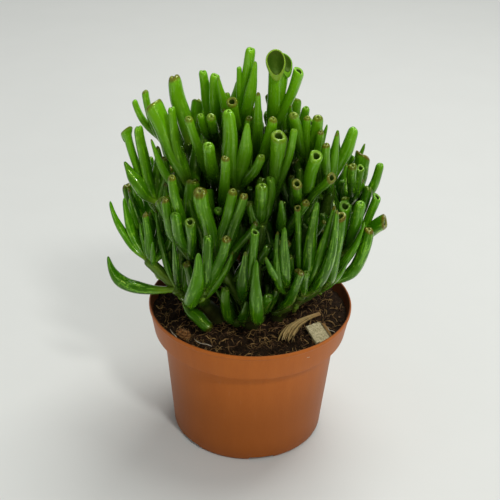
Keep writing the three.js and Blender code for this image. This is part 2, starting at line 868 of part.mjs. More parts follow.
function potSolid() {
  const inner = (radius) => radius - POT.wall;
  const collarFoot = POT.height - POT.collarHeight;
  const ledge = collarFoot + POT.wall;
  const floorTop = POT.floorLift + POT.floorThickness;
  const ringInner = POT.footRadius - POT.footRingWidth;
  const profile = [
    [0, POT.floorLift],
    [ringInner, POT.floorLift],
    [ringInner, 0],
    [POT.footRadius - POT.footBevel, 0],
    [POT.footRadius, POT.footBevel],
    [POT.bodyTopRadius, collarFoot],
    [POT.collarFootRadius, collarFoot],
    [POT.rimRadius, POT.height - 1],
    [POT.rimRadius - 0.4, POT.height],
    [inner(POT.rimRadius), POT.height],
    [inner(POT.collarFootRadius), ledge + 1],
    [inner(POT.bodyTopRadius), ledge],
    [inner(POT.footRadius), floorTop],
    [0, floorTop],
  ];
  const shell = solidOf(turned(profile, POT.sides));
  const pad = cylinderSolid(CENTRE_PAD_RADIUS, 0, POT.floorLift + 0.5, 12);
  const tools = [];
  for (let k = 0; k < NOTCH.count; k++) {
    const angle = degrees(NOTCH.firstAngle + (360 / NOTCH.count) * k);
    const notch = new THREE.BoxGeometry(14, NOTCH.width, 2 * NOTCH.height);
    notch.rotateZ(angle);
    notch.translate(POT.footRadius * Math.cos(angle), POT.footRadius * Math.sin(angle), 0);
    tools.push(solidOf(notch));
  }
  for (let k = 0; k < DRAIN_HOLE.count; k++) {
    const angle = degrees(DRAIN_HOLE.firstAngle + (360 / DRAIN_HOLE.count) * k);
    const [x, y] = [Math.cos(angle), Math.sin(angle)].map((c) => c * DRAIN_HOLE.circleRadius);
    tools.push(cylinderSolid(DRAIN_HOLE.radius, -1, POT.floorLift + 6, 8, x, y));
  }
  return cut(shell.add(pad), tools);
}

// Peat.

// Height of the peat's rough top at a place: a low heap in the middle, with clods over it.
function peatHeight(x, y) {
  const out = Math.hypot(x, y) / (POT.rimRadius - POT.wall);
  const clods =
    Math.sin(0.31 * x + 1.3) * Math.cos(0.27 * y - 0.4) + 0.6 * Math.sin(0.53 * x - 0.47 * y + 2.1);
  return SOIL.topHeight + SOIL.relief * (0.5 - out * out + 0.45 * clods);
}

// The peat takes the pot's inner form, a little inside the wall, with a step where the collar widens.
function peatSolid(tools) {
  const collarFoot = POT.height - POT.collarHeight;
  const floor = POT.floorLift + POT.floorThickness + SEAT_GAP;
  const clear = POT.wall + SEAT_GAP + 0.3;
  const step = collarFoot + POT.wall + 1 + SEAT_GAP;
  const edge = SOIL.topHeight - SOIL.relief;
  const share = (edge - collarFoot) / POT.collarHeight;
  const edgeRadius = lerp(POT.collarFootRadius, POT.rimRadius, share) - clear;
  const profile = [
    [0, floor],
    [POT.footRadius - clear, floor],
    [POT.bodyTopRadius - clear, step],
    [POT.collarFootRadius - clear, step + 0.5],
    [edgeRadius, edge],
  ];
  for (let ring = SOIL.rings - 1; ring > 0; ring--) {
    profile.push([(edgeRadius * ring) / SOIL.rings, SOIL.topHeight]);
  }
  profile.push([0, SOIL.topHeight]);
  const geometry = turned(profile, SOIL.sides);
  const position = geometry.attributes.position;
  for (let k = 0; k < position.count; k++) {
    const [x, y, z] = [position.getX(k), position.getY(k), position.getZ(k)];
    if (z > edge - 0.1) position.setZ(k, peatHeight(x, y));
  }
  return cut(solidOf(geometry), tools);
}

// What lies on the peat.

// A flake of wood, broken square, that leans on the peat by the rim. Grown by the seat gap all round,
// the same flake is its bed in the peat.
function woodChip(gap) {
  const { width, length, thickness, place, turn, lean } = WOOD_CHIP;
  const [w, l] = [width / 2 + gap, length / 2 + gap];
  const outline = new THREE.Shape();
  outline.moveTo(-w, -l);
  outline.lineTo(0.9 * w, -0.92 * l);
  outline.lineTo(w, 0.5 * l);
  outline.lineTo(0.55 * w, l);
  outline.lineTo(-0.92 * w, 0.9 * l);
  const depth = thickness + 2 * gap;
  const geometry = new THREE.ExtrudeGeometry(outline, { depth, bevelEnabled: false });
  geometry.translate(0, 0, -depth / 2);
  geometry.rotateX(degrees(lean));
  geometry.rotateZ(degrees(turn));
  geometry.translate(...place);
  return solidOf(geometry);
}

// A crumb of bark, half sunk in the peat.
function barkCrumb(gap) {
  const { size, place, turn } = BARK_CRUMB;
  const geometry = new THREE.IcosahedronGeometry(1, 1);
  const position = geometry.attributes.position;
  for (let k = 0; k < position.count; k++) {
    const [x, y, z] = [position.getX(k), position.getY(k), position.getZ(k)];
    const lumps = 1 + 0.14 * Math.sin(4.1 * x + 2.3 * y) * Math.cos(3.7 * z - 1.9 * y);
    position.setXYZ(k, x * lumps, y * lumps, z * lumps);
  }
  geometry.scale(size[0] / 2 + gap, size[1] / 2 + gap, size[2] / 2 + gap);
  geometry.rotateZ(degrees(turn));
  geometry.translate(...place);
  return solidOf(geometry);
}

// A leaf that has dried up and come off: a curled strip, broad at one end, arched over the peat.
function dryLeaf() {
  const { start, arch, end, halfWidth, thickness } = DRY_LEAF;
  const section = new THREE.Shape();
  section.moveTo(-halfWidth, 0);
  section.quadraticCurveTo(0, -halfWidth, halfWidth, 0);
  section.lineTo(0.94 * halfWidth, thickness);
  section.quadraticCurveTo(0, thickness - 0.94 * halfWidth, -0.94 * halfWidth, thickness);
  const options = { depth: 1, steps: 7, curveSegments: 3, bevelEnabled: false };
  const geometry = new THREE.ExtrudeGeometry(section, options);
  const position = geometry.attributes.position;
  for (let k = 0; k < position.count; k++) {
    const place = position.getZ(k);
    const width = lerp(0.55, 1, smoothstep(place, 0, 0.25)) * lerp(1, 0.3, smoothstep(place, 0.3, 1));
    position.setX(k, position.getX(k) * width);
  }
  const path = new THREE.QuadraticBezierCurve3(vector(...start), vector(...arch), vector(...end));
  return solidOf(wrap(geometry, path, 1));
}

// Assembly.

const gloss = (color, roughness) => new THREE.MeshStandardMaterial({ color, roughness, metalness: 0 });
const leafGreen = gloss(0x3f7d1c, 0.35);
const plastic = gloss(0xa5602e, 0.5);
const peat = gloss(0x2b1c12, 1);
const wood = gloss(0xa39a78, 0.9);
const bark = gloss(0x8a4a24, 0.95);
const husk = gloss(0x80602c, 0.85);

const plant = new THREE.Group();

function addNode(name, solid, material) {
  const mesh = new THREE.Mesh(geometryOf(solid), material);
  mesh.name = name;
  plant.add(mesh);
}

const { tubes, leaves } = growPlant();
settle(leaves, tubes);

CUTTINGS.forEach((cutting, index) => {
  const pieces = tubes.filter((tube) => tube.cutting === index).map((tube) => tubeSolid(tube, 2));
  pieces.push(...leaves.filter((leaf) => leaf.cutting === index).map(leafSolid));
  addNode(cutting.name, fuse(pieces), leafGreen);
});

addNode("pot", potSolid(), plastic);

const stemHoles = CUTTINGS.map(({ foot: [x, y] }) => {
  const bottom = SOIL.topHeight - SOIL.stemHoleDepth;
  const radius = (STEM.footRadius + SEAT_GAP) / Math.cos(Math.PI / SOIL.holeSides);
  return cylinderSolid(radius, bottom, SOIL.topHeight + 9, SOIL.holeSides, x, y);
});
addNode("peat", peatSolid([...stemHoles, woodChip(SEAT_GAP), barkCrumb(SEAT_GAP)]), peat);
addNode("wood_chip", woodChip(0), wood);
addNode("bark_crumb", barkCrumb(0), bark);
addNode("dry_leaf", dryLeaf(), husk);

export default plant;
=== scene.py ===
# A potted gollum jade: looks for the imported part. Metres, +Z up, origin at the middle of the pot's
# underside, and the side that faces the camera is -Y. Sizes are given in millimetres, times MM.
import math

import bpy
import numpy as np
from mathutils import Matrix, Vector


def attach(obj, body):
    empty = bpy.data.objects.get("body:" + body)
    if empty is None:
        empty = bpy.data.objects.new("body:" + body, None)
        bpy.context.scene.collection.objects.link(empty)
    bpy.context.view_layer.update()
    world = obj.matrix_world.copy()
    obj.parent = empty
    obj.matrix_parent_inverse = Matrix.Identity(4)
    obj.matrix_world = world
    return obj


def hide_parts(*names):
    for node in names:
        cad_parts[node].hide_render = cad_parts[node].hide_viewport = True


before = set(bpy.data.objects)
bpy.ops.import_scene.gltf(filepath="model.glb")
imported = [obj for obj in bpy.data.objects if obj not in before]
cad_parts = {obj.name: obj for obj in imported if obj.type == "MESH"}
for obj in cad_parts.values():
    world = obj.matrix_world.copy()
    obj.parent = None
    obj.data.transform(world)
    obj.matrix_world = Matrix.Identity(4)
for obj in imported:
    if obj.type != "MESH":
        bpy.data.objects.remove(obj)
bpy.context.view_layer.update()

# Pot
# The grower's pot: one thin moulding of terracotta-coloured polypropylene, turned in form, with a tall
# collar under its rolled rim, a raised floor with drain holes, and a foot ring with drain notches.

MM = 0.001
POT_SIDES = 128
POT_HEIGHT = 85.0
RIM_RADIUS = 60.0
COLLAR_HEIGHT = 17.5
COLLAR_FOOT_RADIUS = 57.0
BODY_TOP_RADIUS = 51.5
FOOT_RADIUS = 45.5
WALL = 1.2
COLLAR_FOOT = POT_HEIGHT - COLLAR_HEIGHT
POT_PROFILE = [
    # The centre pad, the raised underside of the floor, and the foot ring.
    (0.3, 0.0), (8.3, 0.0), (9.0, 0.5), (9.2, 2.6), (9.8, 3.0), (41.9, 3.0), (42.5, 2.5), (42.5, 0.4),
    (42.9, 0.0), (43.8, 0.0), (44.6, 0.3), (45.2, 1.0), (FOOT_RADIUS + 0.1, 2.2),
    # The body, the ledge under the collar, and the collar.
    (46.1, 8.0), (50.7, 58.0), (BODY_TOP_RADIUS, COLLAR_FOOT - 0.9), (51.9, COLLAR_FOOT - 0.25),
    (52.8, COLLAR_FOOT), (56.1, COLLAR_FOOT), (56.8, COLLAR_FOOT + 0.3),
    (COLLAR_FOOT_RADIUS + 0.1, COLLAR_FOOT + 1.1), (59.4, 81.6), (59.55, 82.4), (59.95, 82.9),
    # The rolled rim, and down the inside to the floor.
    (RIM_RADIUS, 84.2), (59.75, 84.8), (59.3, POT_HEIGHT), (58.9, 84.8), (58.65, 84.2), (58.5, 82.6),
    (56.0, COLLAR_FOOT + WALL + 1.6), (55.4, COLLAR_FOOT + WALL + 0.3), (50.6, COLLAR_FOOT + WALL),
    (50.2, COLLAR_FOOT), (44.4, 5.2), (43.6, 4.2), (0.3, 4.2),
]
NOTCHES = 6
NOTCH_FIRST_ANGLE = -78
NOTCH_SIZE = (14.0, 15.0, 4.4)
NOTCH_ROUNDING = 0.05
DRAIN_HOLES = 6
DRAIN_FIRST_ANGLE = -48
DRAIN_RADIUS = 3.2
DRAIN_CIRCLE = 30.0
DRILL_SIDES = 24
DRILL_LENGTH = 6.0
FLOOR_MIDDLE = 3.6
COLLAR_SLOPE = 0.17
RICH_TERRACOTTA = (0.36, 0.088, 0.0105)
LIGHT_TERRACOTTA = (0.5, 0.14, 0.021)
SCUFF_COLOUR = (0.5, 0.25, 0.13)
DARKER_FOOT = (0.16, 0.045, 0.012)
SHADED_LOWER_BODY = (0.2, 0.05, 0.006)
SHADED_INSIDE = (0.07, 0.025, 0.012)


def deselect():
    if bpy.context.object and bpy.context.object.mode != "OBJECT":
        bpy.ops.object.mode_set(mode="OBJECT")
    bpy.ops.object.select_all(action="DESELECT")


def choose(piece):
    """Makes a piece the one that the next operators work on."""
    deselect()
    piece.select_set(True)
    bpy.context.view_layer.objects.active = piece


def pick(piece):
    """Goes into edit mode on a piece with all its vertices selected."""
    choose(piece)
    bpy.ops.object.mode_set(mode="EDIT")
    bpy.ops.mesh.select_mode(type="VERT")
    bpy.ops.mesh.select_all(action="SELECT")


def places(piece):
    """The places of a piece's vertices, one row each."""
    flat = np.empty(len(piece.data.vertices) * 3, np.float32)
    piece.data.vertices.foreach_get("co", flat)
    return flat.reshape(-1, 3).astype(float)


def place_at(piece, points):
    piece.data.vertices.foreach_set("co", np.asarray(points, np.float32).ravel())
    piece.data.update()


def turn(name, sides, profile, unit=MM):
    """Turns a closed piece: a ring is drawn out and widened from each place of the profile to the next."""
    deselect()
    (radius, height), *rest = profile
    bpy.ops.mesh.primitive_circle_add(vertices=sides, radius=radius * unit)
    piece = bpy.context.object
    piece.name = piece.data.name = name
    pick(piece)
    bpy.ops.transform.translate(value=(0, 0, height * unit))
    for next_radius, next_height in rest:
        rise = (0, 0, (next_height - height) * unit)
        bpy.ops.mesh.extrude_region_move(TRANSFORM_OT_translate={"value": rise})
        widen = next_radius / radius
        bpy.ops.transform.resize(value=(widen, widen, 1), center_override=(0, 0, 0))
        radius, height = next_radius, next_height
    bpy.ops.mesh.select_all(action="DESELECT")
    bpy.ops.mesh.select_non_manifold()
    bpy.ops.mesh.edge_face_add()
    bpy.ops.mesh.select_all(action="SELECT")
    bpy.ops.mesh.fill_holes(sides=0)
    bpy.ops.mesh.normals_make_consistent(inside=False)
    deselect()
    return piece


def finish_modifier(piece, kind, **settings):
    """Adds a modifier, sets it, and applies it."""
    choose(piece)
    modifier = piece.modifiers.new(kind.title(), kind)
    for name, value in settings.items():
        setattr(modifier, name, value)
    bpy.ops.object.modifier_apply(modifier=modifier.name)


def smooth(piece, angle):
    """Shades a piece smooth, apart from edges sharper than an angle in degrees."""
    choose(piece)
    bpy.ops.object.shade_smooth_by_angle(angle=math.radians(angle))


pot = turn("nursery_pot", POT_SIDES, POT_PROFILE)
deselect()
for k in range(NOTCHES):
    angle = math.radians(NOTCH_FIRST_ANGLE + 360 / NOTCHES * k)
    spot = (FOOT_RADIUS * MM * math.cos(angle), FOOT_RADIUS * MM * math.sin(angle), 0)
    bpy.ops.mesh.primitive_cube_add(size=1, location=spot, rotation=(0, 0, angle))
    notch = bpy.context.object
    notch.scale = [side * MM for side in NOTCH_SIZE]
    pick(notch)
    bpy.ops.mesh.bevel(offset=NOTCH_ROUNDING, segments=3, affect="EDGES")
    deselect()
    finish_modifier(pot, "BOOLEAN", object=notch, operation="DIFFERENCE", solver="EXACT")
    bpy.data.objects.remove(notch)
for k in range(DRAIN_HOLES):
    angle = math.radians(DRAIN_FIRST_ANGLE + 360 / DRAIN_HOLES * k)
    x, y = DRAIN_CIRCLE * math.cos(angle), DRAIN_CIRCLE * math.sin(angle)
    bpy.ops.mesh.primitive_cylinder_add(
        vertices=DRILL_SIDES, radius=DRAIN_RADIUS * MM, depth=DRILL_LENGTH * MM,
        location=(x * MM, y * MM, FLOOR_MIDDLE * MM),
    )
    drill = bpy.context.object
    finish_modifier(pot, "BOOLEAN", object=drill, operation="DIFFERENCE", solver="EXACT")
    bpy.data.objects.remove(drill)
smooth(pot, 35)


class Value:
    """A shader socket for use in formulas: an expression on values adds its Math nodes."""

    def __init__(self, tree, socket):
        self.tree, self.socket = tree, socket

    def node(self, kind, settings=(), inputs=(), output=0):
        """Adds a node: its settings are set first, then the values or links of its sockets."""
        node = self.tree.nodes.new(kind)
        for name, value in dict(settings).items():
            setattr(node, name, value)
        for name, value in dict(inputs).items():
            if isinstance(value, Value):
                self.tree.links.new(value.socket, node.inputs[name])
            else:
                node.inputs[name].default_value = value
        return Value(self.tree, node.outputs[output])

    def math(self, operation, *values, clamp=False):
        settings = {"operation": operation, "use_clamp": clamp}
        return self.node("ShaderNodeMath", settings, enumerate(values))

    def __add__(self, other):
        return self.math("ADD", self, other)

    def __radd__(self, other):
        return self.math("ADD", other, self)

    def __sub__(self, other):
        return self.math("SUBTRACT", self, other)

    def __rsub__(self, other):
        return self.math("SUBTRACT", other, self)

    def __mul__(self, other):
        return self.math("MULTIPLY", self, other)

    def __rmul__(self, other):
        return self.math("MULTIPLY", other, self)

    def __truediv__(self, other):
        return self.math("DIVIDE", self, other)

    def __rtruediv__(self, other):
        return self.math("DIVIDE", other, self)

    def __pow__(self, other):
        return self.math("POWER", self, other)

    def __rpow__(self, other):
        return self.math("POWER", other, self)

    def held(self):
        """This value, kept from 0 to 1."""
        return self.math("ADD", self, 0, clamp=True)

    def step(self, low, high):
        """A soft step of this value: 0 under low and 1 over high, or the other way round."""
        inputs = {0: self, 1: low, 2: high}
        return self.node("ShaderNodeMapRange", {"interpolation_type": "SMOOTHSTEP"}, inputs)

    def over(self, below, above):
        """Mixes two colours, with this value as the share of the second."""
        ends = {}
        for at, colour in ((6, below), (7, above)):
            ends[at] = colour if isinstance(colour, Value) else (*colour, 1)
        return self.node("ShaderNodeMix", {"data_type": "RGBA"}, {0: self, **ends}, 2)

    def stretched(self, x, y, z):
        """This vector times a scale for each axis."""
        return self.node("ShaderNodeVectorMath", {"operation": "MULTIPLY"}, {0: self, 1: (x, y, z)})

    def part(self, axis):
        """One axis of this vector."""
        return self.node("ShaderNodeSeparateXYZ", (), {0: self}, "XYZ".index(axis))

    def noise(self, scale, detail=2.0, roughness=0.5, distortion=0.0):
        """Cloudy noise from 0 to 1, with a scale in features per mm."""
        inputs = {"Vector": self, "Scale": scale, "Detail": detail}
        inputs.update({"Roughness": roughness, "Distortion": distortion})
        return self.node("ShaderNodeTexNoise", (), inputs)

    def cells(self, scale):
        """Distance to the nearest of scattered points, for pores."""
        return self.node("ShaderNodeTexVoronoi", {"feature": "F1"}, {"Vector": self, "Scale": scale})

    def attribute(self, name):
        """What mark() wrote to the piece under this name."""
        return self.node("ShaderNodeAttribute", {"attribute_name": name}, (), "Fac")

    def relief(self, height_mm):
        """A normal from this value as a height: 0 to 1 is that many millimetres."""
        inputs = {"Height": self, "Distance": height_mm * MM, "Strength": 1.0}
        return self.node("ShaderNodeBump", (), inputs)


def new_finish(name, **uniform):
    """A material with its uniform values set: returns it, its shader node, and the place in mm."""
    material = bpy.data.materials.new(name)
    material.use_nodes = True
    tree = material.node_tree
    shader = tree.nodes["Principled BSDF"]
    for socket, value in uniform.items():
        shader.inputs[socket.replace("_", " ")].default_value = value
    place = Value(tree, tree.nodes.new("ShaderNodeTexCoord").outputs["Object"])
    return material, shader, place.stretched(1 / MM, 1 / MM, 1 / MM)


def feed(shader, **varying):
    """Links what changes over a surface to the shader."""
    for socket, value in varying.items():
        value.tree.links.new(value.socket, shader.inputs[socket.replace("_", " ")])


def dress(piece, material):
    piece.data.materials.clear()
    piece.data.materials.append(material)


plastic, shader, at_mm = new_finish(
    "terracotta_plastic", Specular_IOR_Level=0.3, Specular_Tint=(1, 0.75, 0.5, 1)
)
x, y, z = (at_mm.part(axis) for axis in "XYZ")
out = (x * x + y * y) ** 0.5
round_pot = at_mm.node("ShaderNodeCombineXYZ", (), {0: x / out, 1: y / out, 2: z * 0.0035})
streaks = round_pot.noise(55, 3, 0.6)
broad_streaks = round_pot.noise(9, 2)
grain = at_mm.noise(1.6, 3)
scuffs = at_mm.stretched(1, 1, 0.35).noise(0.35, 4, 0.7).step(0.6, 0.74)
# The pot turns darker in patches towards its foot.
foot_darkening = z.step(16, 0) * at_mm.noise(0.12, 3)
body_wall = z * ((BODY_TOP_RADIUS - FOOT_RADIUS) / COLLAR_FOOT) + FOOT_RADIUS
collar_wall = (z - COLLAR_FOOT) * COLLAR_SLOPE + COLLAR_FOOT_RADIUS
wall = body_wall + (collar_wall - body_wall) * z.step(COLLAR_FOOT - 0.5, COLLAR_FOOT + 0.5)
inside = (out - wall + WALL / 2).step(0.2, -0.2) * z.step(3.4, 3.8)
terracotta = (streaks * 0.45 + broad_streaks * 0.55).over(RICH_TERRACOTTA, LIGHT_TERRACOTTA)
terracotta = (scuffs * 0.18).over(terracotta, SCUFF_COLOUR)
terracotta = (foot_darkening * 0.5).over(terracotta, DARKER_FOOT)
# Painted shade: the body darkens from the collar foot downwards.
terracotta = (z.step(COLLAR_FOOT, 25) * 0.5).over(terracotta, SHADED_LOWER_BODY)
terracotta = (inside * 0.75).over(terracotta, SHADED_INSIDE)
feed(
    shader,
    Base_Color=terracotta,
    Roughness=(0.38 + streaks * 0.1 + grain * 0.08 + scuffs * 0.12).held(),
    Normal=(streaks * 0.7 + grain * 0.3).relief(0.05),
)
dress(pot, plastic)
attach(pot, "root")
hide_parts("pot")

# Peat
# The potting mix: dark milled peat, heaped a little in the middle and a finger's breadth under the rim
# at most, with clods and loose crumbs on top. It was tipped in round the stems' feet.

PEAT_SIDES = 320
PEAT_RINGS = 84
PEAT_TOP = 78.5
PEAT_RELIEF = 1.3
PEAT_EDGE = 58.15
PEAT_UNDERSIDE = [(0.5, 5.0), (43.6, 5.0), (49.6, 69.4), (54.6, 70.4)]
PEAT_SHOULDER = 57.5
SMALLEST_RING = 0.4
# Three layers of relief: the kind of texture, its size and its height in mm, and its settings.
CLODS = ("CLOUDS", 5.5, 3.0, {"noise_depth": 2})
LUMPS = ("VORONOI", 2.6, 1.9, {})
CRUMBLE = ("CLOUDS", 1.1, 1.3, {"noise_depth": 3})
DARK_PEAT = (0.006, 0.0036, 0.0022)
BROWN_PEAT = (0.032, 0.017, 0.008)
RUSTY_PEAT = (0.11, 0.042, 0.012)
PEAT_FLECKS = (0.15, 0.09, 0.036)
PEAT_THREADS = (0.25, 0.165, 0.075)
PEAT_PIT_SHADE = (0.006, 0.0035, 0.002)


def peat_height(x, y):
    """Height of the peat at a place in mm: a low heap with clods over it, as in the part."""
    out = np.hypot(x, y) / (RIM_RADIUS - WALL)
    clods = np.sin(0.31 * x + 1.3) * np.cos(0.27 * y - 0.4)
    clods = clods + 0.6 * np.sin(0.53 * x - 0.47 * y + 2.1)
    return PEAT_TOP + PEAT_RELIEF * (0.5 - out * out + 0.45 * clods)


edge_top = PEAT_TOP - PEAT_RELIEF
peat_profile = [*PEAT_UNDERSIDE, (PEAT_SHOULDER, edge_top - 0.4)]
for ring in range(PEAT_RINGS + 1):
    peat_profile.append((PEAT_EDGE * (1 - ring / PEAT_RINGS) + SMALLEST_RING, edge_top))
peat = turn("peat_mix", PEAT_SIDES, peat_profile)
spots = places(peat) / MM
top = spots[:, 2] > edge_top - 0.1
spots[top, 2] = peat_height(spots[top, 0], spots[top, 1])
place_at(peat, spots * MM)
upper = peat.vertex_groups.new(name="upper")
edge_fade = np.clip((PEAT_EDGE + 0.6 - np.hypot(spots[:, 0], spots[:, 1])) / 2.0, 0.25, 1)
for vertex in np.flatnonzero(top):
    upper.add([int(vertex)], float(edge_fade[vertex]), "REPLACE")
for kind, size, strength, settings in (CLODS, LUMPS, CRUMBLE):
    texture = bpy.data.textures.new("peat_relief", kind)
    texture.noise_scale = size * MM
    for name, value in settings.items():
        setattr(texture, name, value)
    finish_modifier(
        peat, "DISPLACE", texture=texture, strength=strength * MM, mid_level=0.5,
        direction="Z", vertex_group="upper", texture_coords="LOCAL",
    )
smooth(peat, 60)

compost, shader, at_mm = new_finish("milled_peat", Specular_IOR_Level=0.1)
patches = at_mm.noise(0.22, 3, 0.6)
flecks = at_mm.noise(1.9, 3, 0.75).step(0.56, 0.72)
rusty = at_mm.noise(0.6, 3, 0.6).step(0.55, 0.72)
threads = at_mm.stretched(1, 0.25, 1).noise(1.3, 2, 0.6, 2.5).step(0.62, 0.72)
pits = at_mm.noise(1.1, 4, 0.7)
earth = patches.over(DARK_PEAT, BROWN_PEAT)
earth = (rusty * 0.5).over(earth, RUSTY_PEAT)
earth = (flecks * 0.6).over(earth, PEAT_FLECKS)
earth = (threads * 0.5).over(earth, PEAT_THREADS)
# Painted shade: the hollows of the relief (pits) are darkened.
feed(
    shader,
    Base_Color=pits.step(0.28, 0.55).over(PEAT_PIT_SHADE, earth),
    Roughness=(0.78 + flecks * 0.2).held(),
    Normal=(pits * 0.6 + at_mm.noise(3.5, 2) * 0.4).relief(0.5),
)
dress(peat, compost)
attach(peat, "root")
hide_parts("peat")

# Crumbs
# Loose crumbs of peat and bark dust, which lie on the mix as it was tipped in. A few are broken into
# shape, and the rest are copies of them, each turned and sized.

PEAT_SEED = 23
CRUMB_SHAPES = 6
CRUMB_FACES = 5
CRUMBS = 620
SMALLEST_CRUMB = 0.45
CRUMB_SPREAD = 1.1
CRUMB_LEAN = 50
DARK_CRUMB = (0.014, 0.008, 0.0045)
BROWN_CRUMB = (0.085, 0.042, 0.018)
TAN_CRUMB = (0.19, 0.11, 0.052)


def broken(points, faces, nearest, furthest, depth, chance):
    """Flattens a round lump's points against faces at random, each at a distance from its middle."""
    for _ in range(faces):
        facing = chance.normal(size=3)
        facing /= np.linalg.norm(facing)
        beyond = np.maximum(points @ facing - chance.uniform(nearest, furthest), 0)
        points -= depth * beyond[:, None] * facing
    return points


chance = np.random.default_rng(PEAT_SEED)
crumb_shapes = []
for k in range(CRUMB_SHAPES):
    deselect()
    bpy.ops.mesh.primitive_ico_sphere_add(subdivisions=2, radius=1)
    shape = bpy.context.object
    points = broken(places(shape), CRUMB_FACES, 0.35, 0.8, 0.85, chance)
    points *= 1 + 0.1 * chance.normal(size=(len(points), 1))
    points *= chance.uniform((0.75, 0.5, 0.35), (1.3, 0.95, 0.75))
    place_at(shape, points)
    crumb_shapes.append(shape)


def on_peat(x, y):
    """Height of the finished peat at a place in mm."""
    hit, spot, *_ = peat.ray_cast((x * MM, y * MM, 0.1), (0, 0, -1))
    return spot.z / MM if hit else PEAT_TOP


def turned_by(tilt, spin):
    """The matrix of a lean about X and then a turn about Z, in degrees."""
    return np.array(
        Matrix.Rotation(math.radians(spin), 3, "Z") @ Matrix.Rotation(math.radians(tilt), 3, "X")
    )


def joined(pieces, name):
    """One piece from several, with its object at the origin."""
    deselect()
    for piece in pieces:
        piece.select_set(True)
    bpy.context.view_layer.objects.active = pieces[0]
    bpy.ops.object.join()
    whole = bpy.context.object
    whole.name = whole.data.name = name
    return whole


def copy_of(shape, points):
    """A copy of a shape, with a mesh of its own whose vertices are at these points."""
    piece = shape.copy()
    piece.data = shape.data.copy()
    bpy.context.collection.objects.link(piece)
    place_at(piece, points)
    return piece


crumbs = []
for k in range(CRUMBS):
    out = (RIM_RADIUS - 3.4) * math.sqrt(chance.uniform(0.12, 1))
    angle = chance.uniform(0, 2 * math.pi)
    spot = np.array([out * math.cos(angle), out * math.sin(angle), 0])
    size = SMALLEST_CRUMB + CRUMB_SPREAD * chance.random() ** 3
    spot[2] = on_peat(spot[0], spot[1]) + 0.3 * size
    shape = crumb_shapes[k % CRUMB_SHAPES]
    turning = turned_by(chance.uniform(-CRUMB_LEAN, CRUMB_LEAN), chance.uniform(0, 360))
    crumbs.append(copy_of(shape, (places(shape) @ turning.T * size + spot) * MM))
for shape in crumb_shapes:
    bpy.data.objects.remove(shape)
crumbs = joined(crumbs, "peat_crumbs")
smooth(crumbs, 50)

crumb_finish, shader, at_mm = new_finish("peat_crumb", Specular_IOR_Level=0.1)
shades = at_mm.noise(0.55, 1)
crumb_colour = shades.step(0.35, 0.65).over(DARK_CRUMB, BROWN_CRUMB)
crumb_colour = at_mm.noise(0.31, 1).step(0.62, 0.7).over(crumb_colour, TAN_CRUMB)
feed(
    shader,
    Base_Color=crumb_colour,
    Roughness=(0.8 + shades * 0.2).held(),
    Normal=at_mm.noise(3.2, 3, 0.7).relief(0.35),
)
dress(crumbs, crumb_finish)
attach(crumbs, "root")

# Fibres and roots
# What a peat mix is bound with: short tan fibres all through it, and a few fine pale roots that have
# come up at its surface. Both lie on the mix, and dip into it at their ends.

FIBRES = 800
FIBRE_KNOTS = 6
FINE_LENGTH = (2.5, 8)
FINE_RADIUS = (0.09, 0.19)
COARSE_EVERY = 9
COARSE_LENGTH = (5, 13)
COARSE_RADIUS = (0.22, 0.4)
FIBRE_RISE = (0.2, 1.4)
ROOT_RADIUS = 0.27
ROOT_WOBBLE = 0.25
THIN_ENDS = 0.35
NEAR_WALL = RIM_RADIUS - 3.6
BROWN_FIBRE = (0.09, 0.037, 0.009)
STRAW_FIBRE = (0.44, 0.26, 0.08)
TAN_ROOT = (0.4, 0.3, 0.18)
PALE_ROOT = (0.75, 0.66, 0.5)
PALE_ROOTS = [
    # Each root's line over the peat, in mm, as seen from above.
    [(-35.5, -45.5), (-29, -47.0), (-20, -49.0), (-11, -50.2)],
    [(15, -55.0), (17.5, -51.5), (21, -49.3), (27, -49.6), (34, -48.6)],
    [(43, -18.0), (46.5, -20.5), (51, -23.5)],
    [(-46, -27.0), (-41, -33.5), (-40.5, -39.5)],
    [(-31, -36.0), (-26, -40.5), (-19, -42.0)],
    [(30, 41.0), (38, 35.5), (45, 33.0)],
    [(-12, 50.5), (-3, 53.0), (6, 50.0)],
]


def threads(name, lines, fineness):
    """Fine round threads along lines of points in mm, each with its radius: curves made into a mesh."""
    curve = bpy.data.curves.new(name, "CURVE")
    curve.dimensions = "3D"
    curve.bevel_depth = MM
    curve.bevel_resolution = fineness
    curve.resolution_u = 3
    curve.use_fill_caps = True
    for line, radius in lines:
        spline = curve.splines.new("NURBS")
        spline.points.add(len(line) - 1)
        for k, (point, knot) in enumerate(zip(line, spline.points)):
            knot.co = (*(value * MM for value in point), 1)
            knot.radius = radius * (THIN_ENDS if k in (0, len(line) - 1) else 1)
        spline.use_endpoint_u = True
        spline.order_u = 3
    piece = bpy.data.objects.new(name, curve)
    bpy.context.collection.objects.link(piece)
    choose(piece)
    bpy.ops.object.convert(target="MESH")
    return bpy.context.object


fibre_lines = []
for k in range(FIBRES):
    coarse = k % COARSE_EVERY == 0
    out = (RIM_RADIUS - 6) * math.sqrt(chance.uniform(0.1, 1))
    angle = chance.uniform(0, 2 * math.pi)
    spot = np.array([out * math.cos(angle), out * math.sin(angle)])
    heading = chance.uniform(0, 2 * math.pi)
    length = chance.uniform(*(COARSE_LENGTH if coarse else FINE_LENGTH))
    line = []
    for j in range(FIBRE_KNOTS):
        x, y = spot
        if math.hypot(x, y) > NEAR_WALL:
            break
        share = j / (FIBRE_KNOTS - 1)
        rise = chance.uniform(*FIBRE_RISE) * math.sin(math.pi * share)
        line.append((x, y, on_peat(x, y) + rise - 0.3 * abs(2 * share - 1) ** 3))
        heading += chance.normal() * 0.45
        step = np.array([math.cos(heading), math.sin(heading)])
        spot = spot + length / (FIBRE_KNOTS - 1) * step
    if len(line) > 2:
        fibre_lines.append((line, chance.uniform(*(COARSE_RADIUS if coarse else FINE_RADIUS))))
fibres = threads("peat_fibres", fibre_lines, 0)
straw, shader, at_mm = new_finish("peat_fibre", Roughness=0.75)
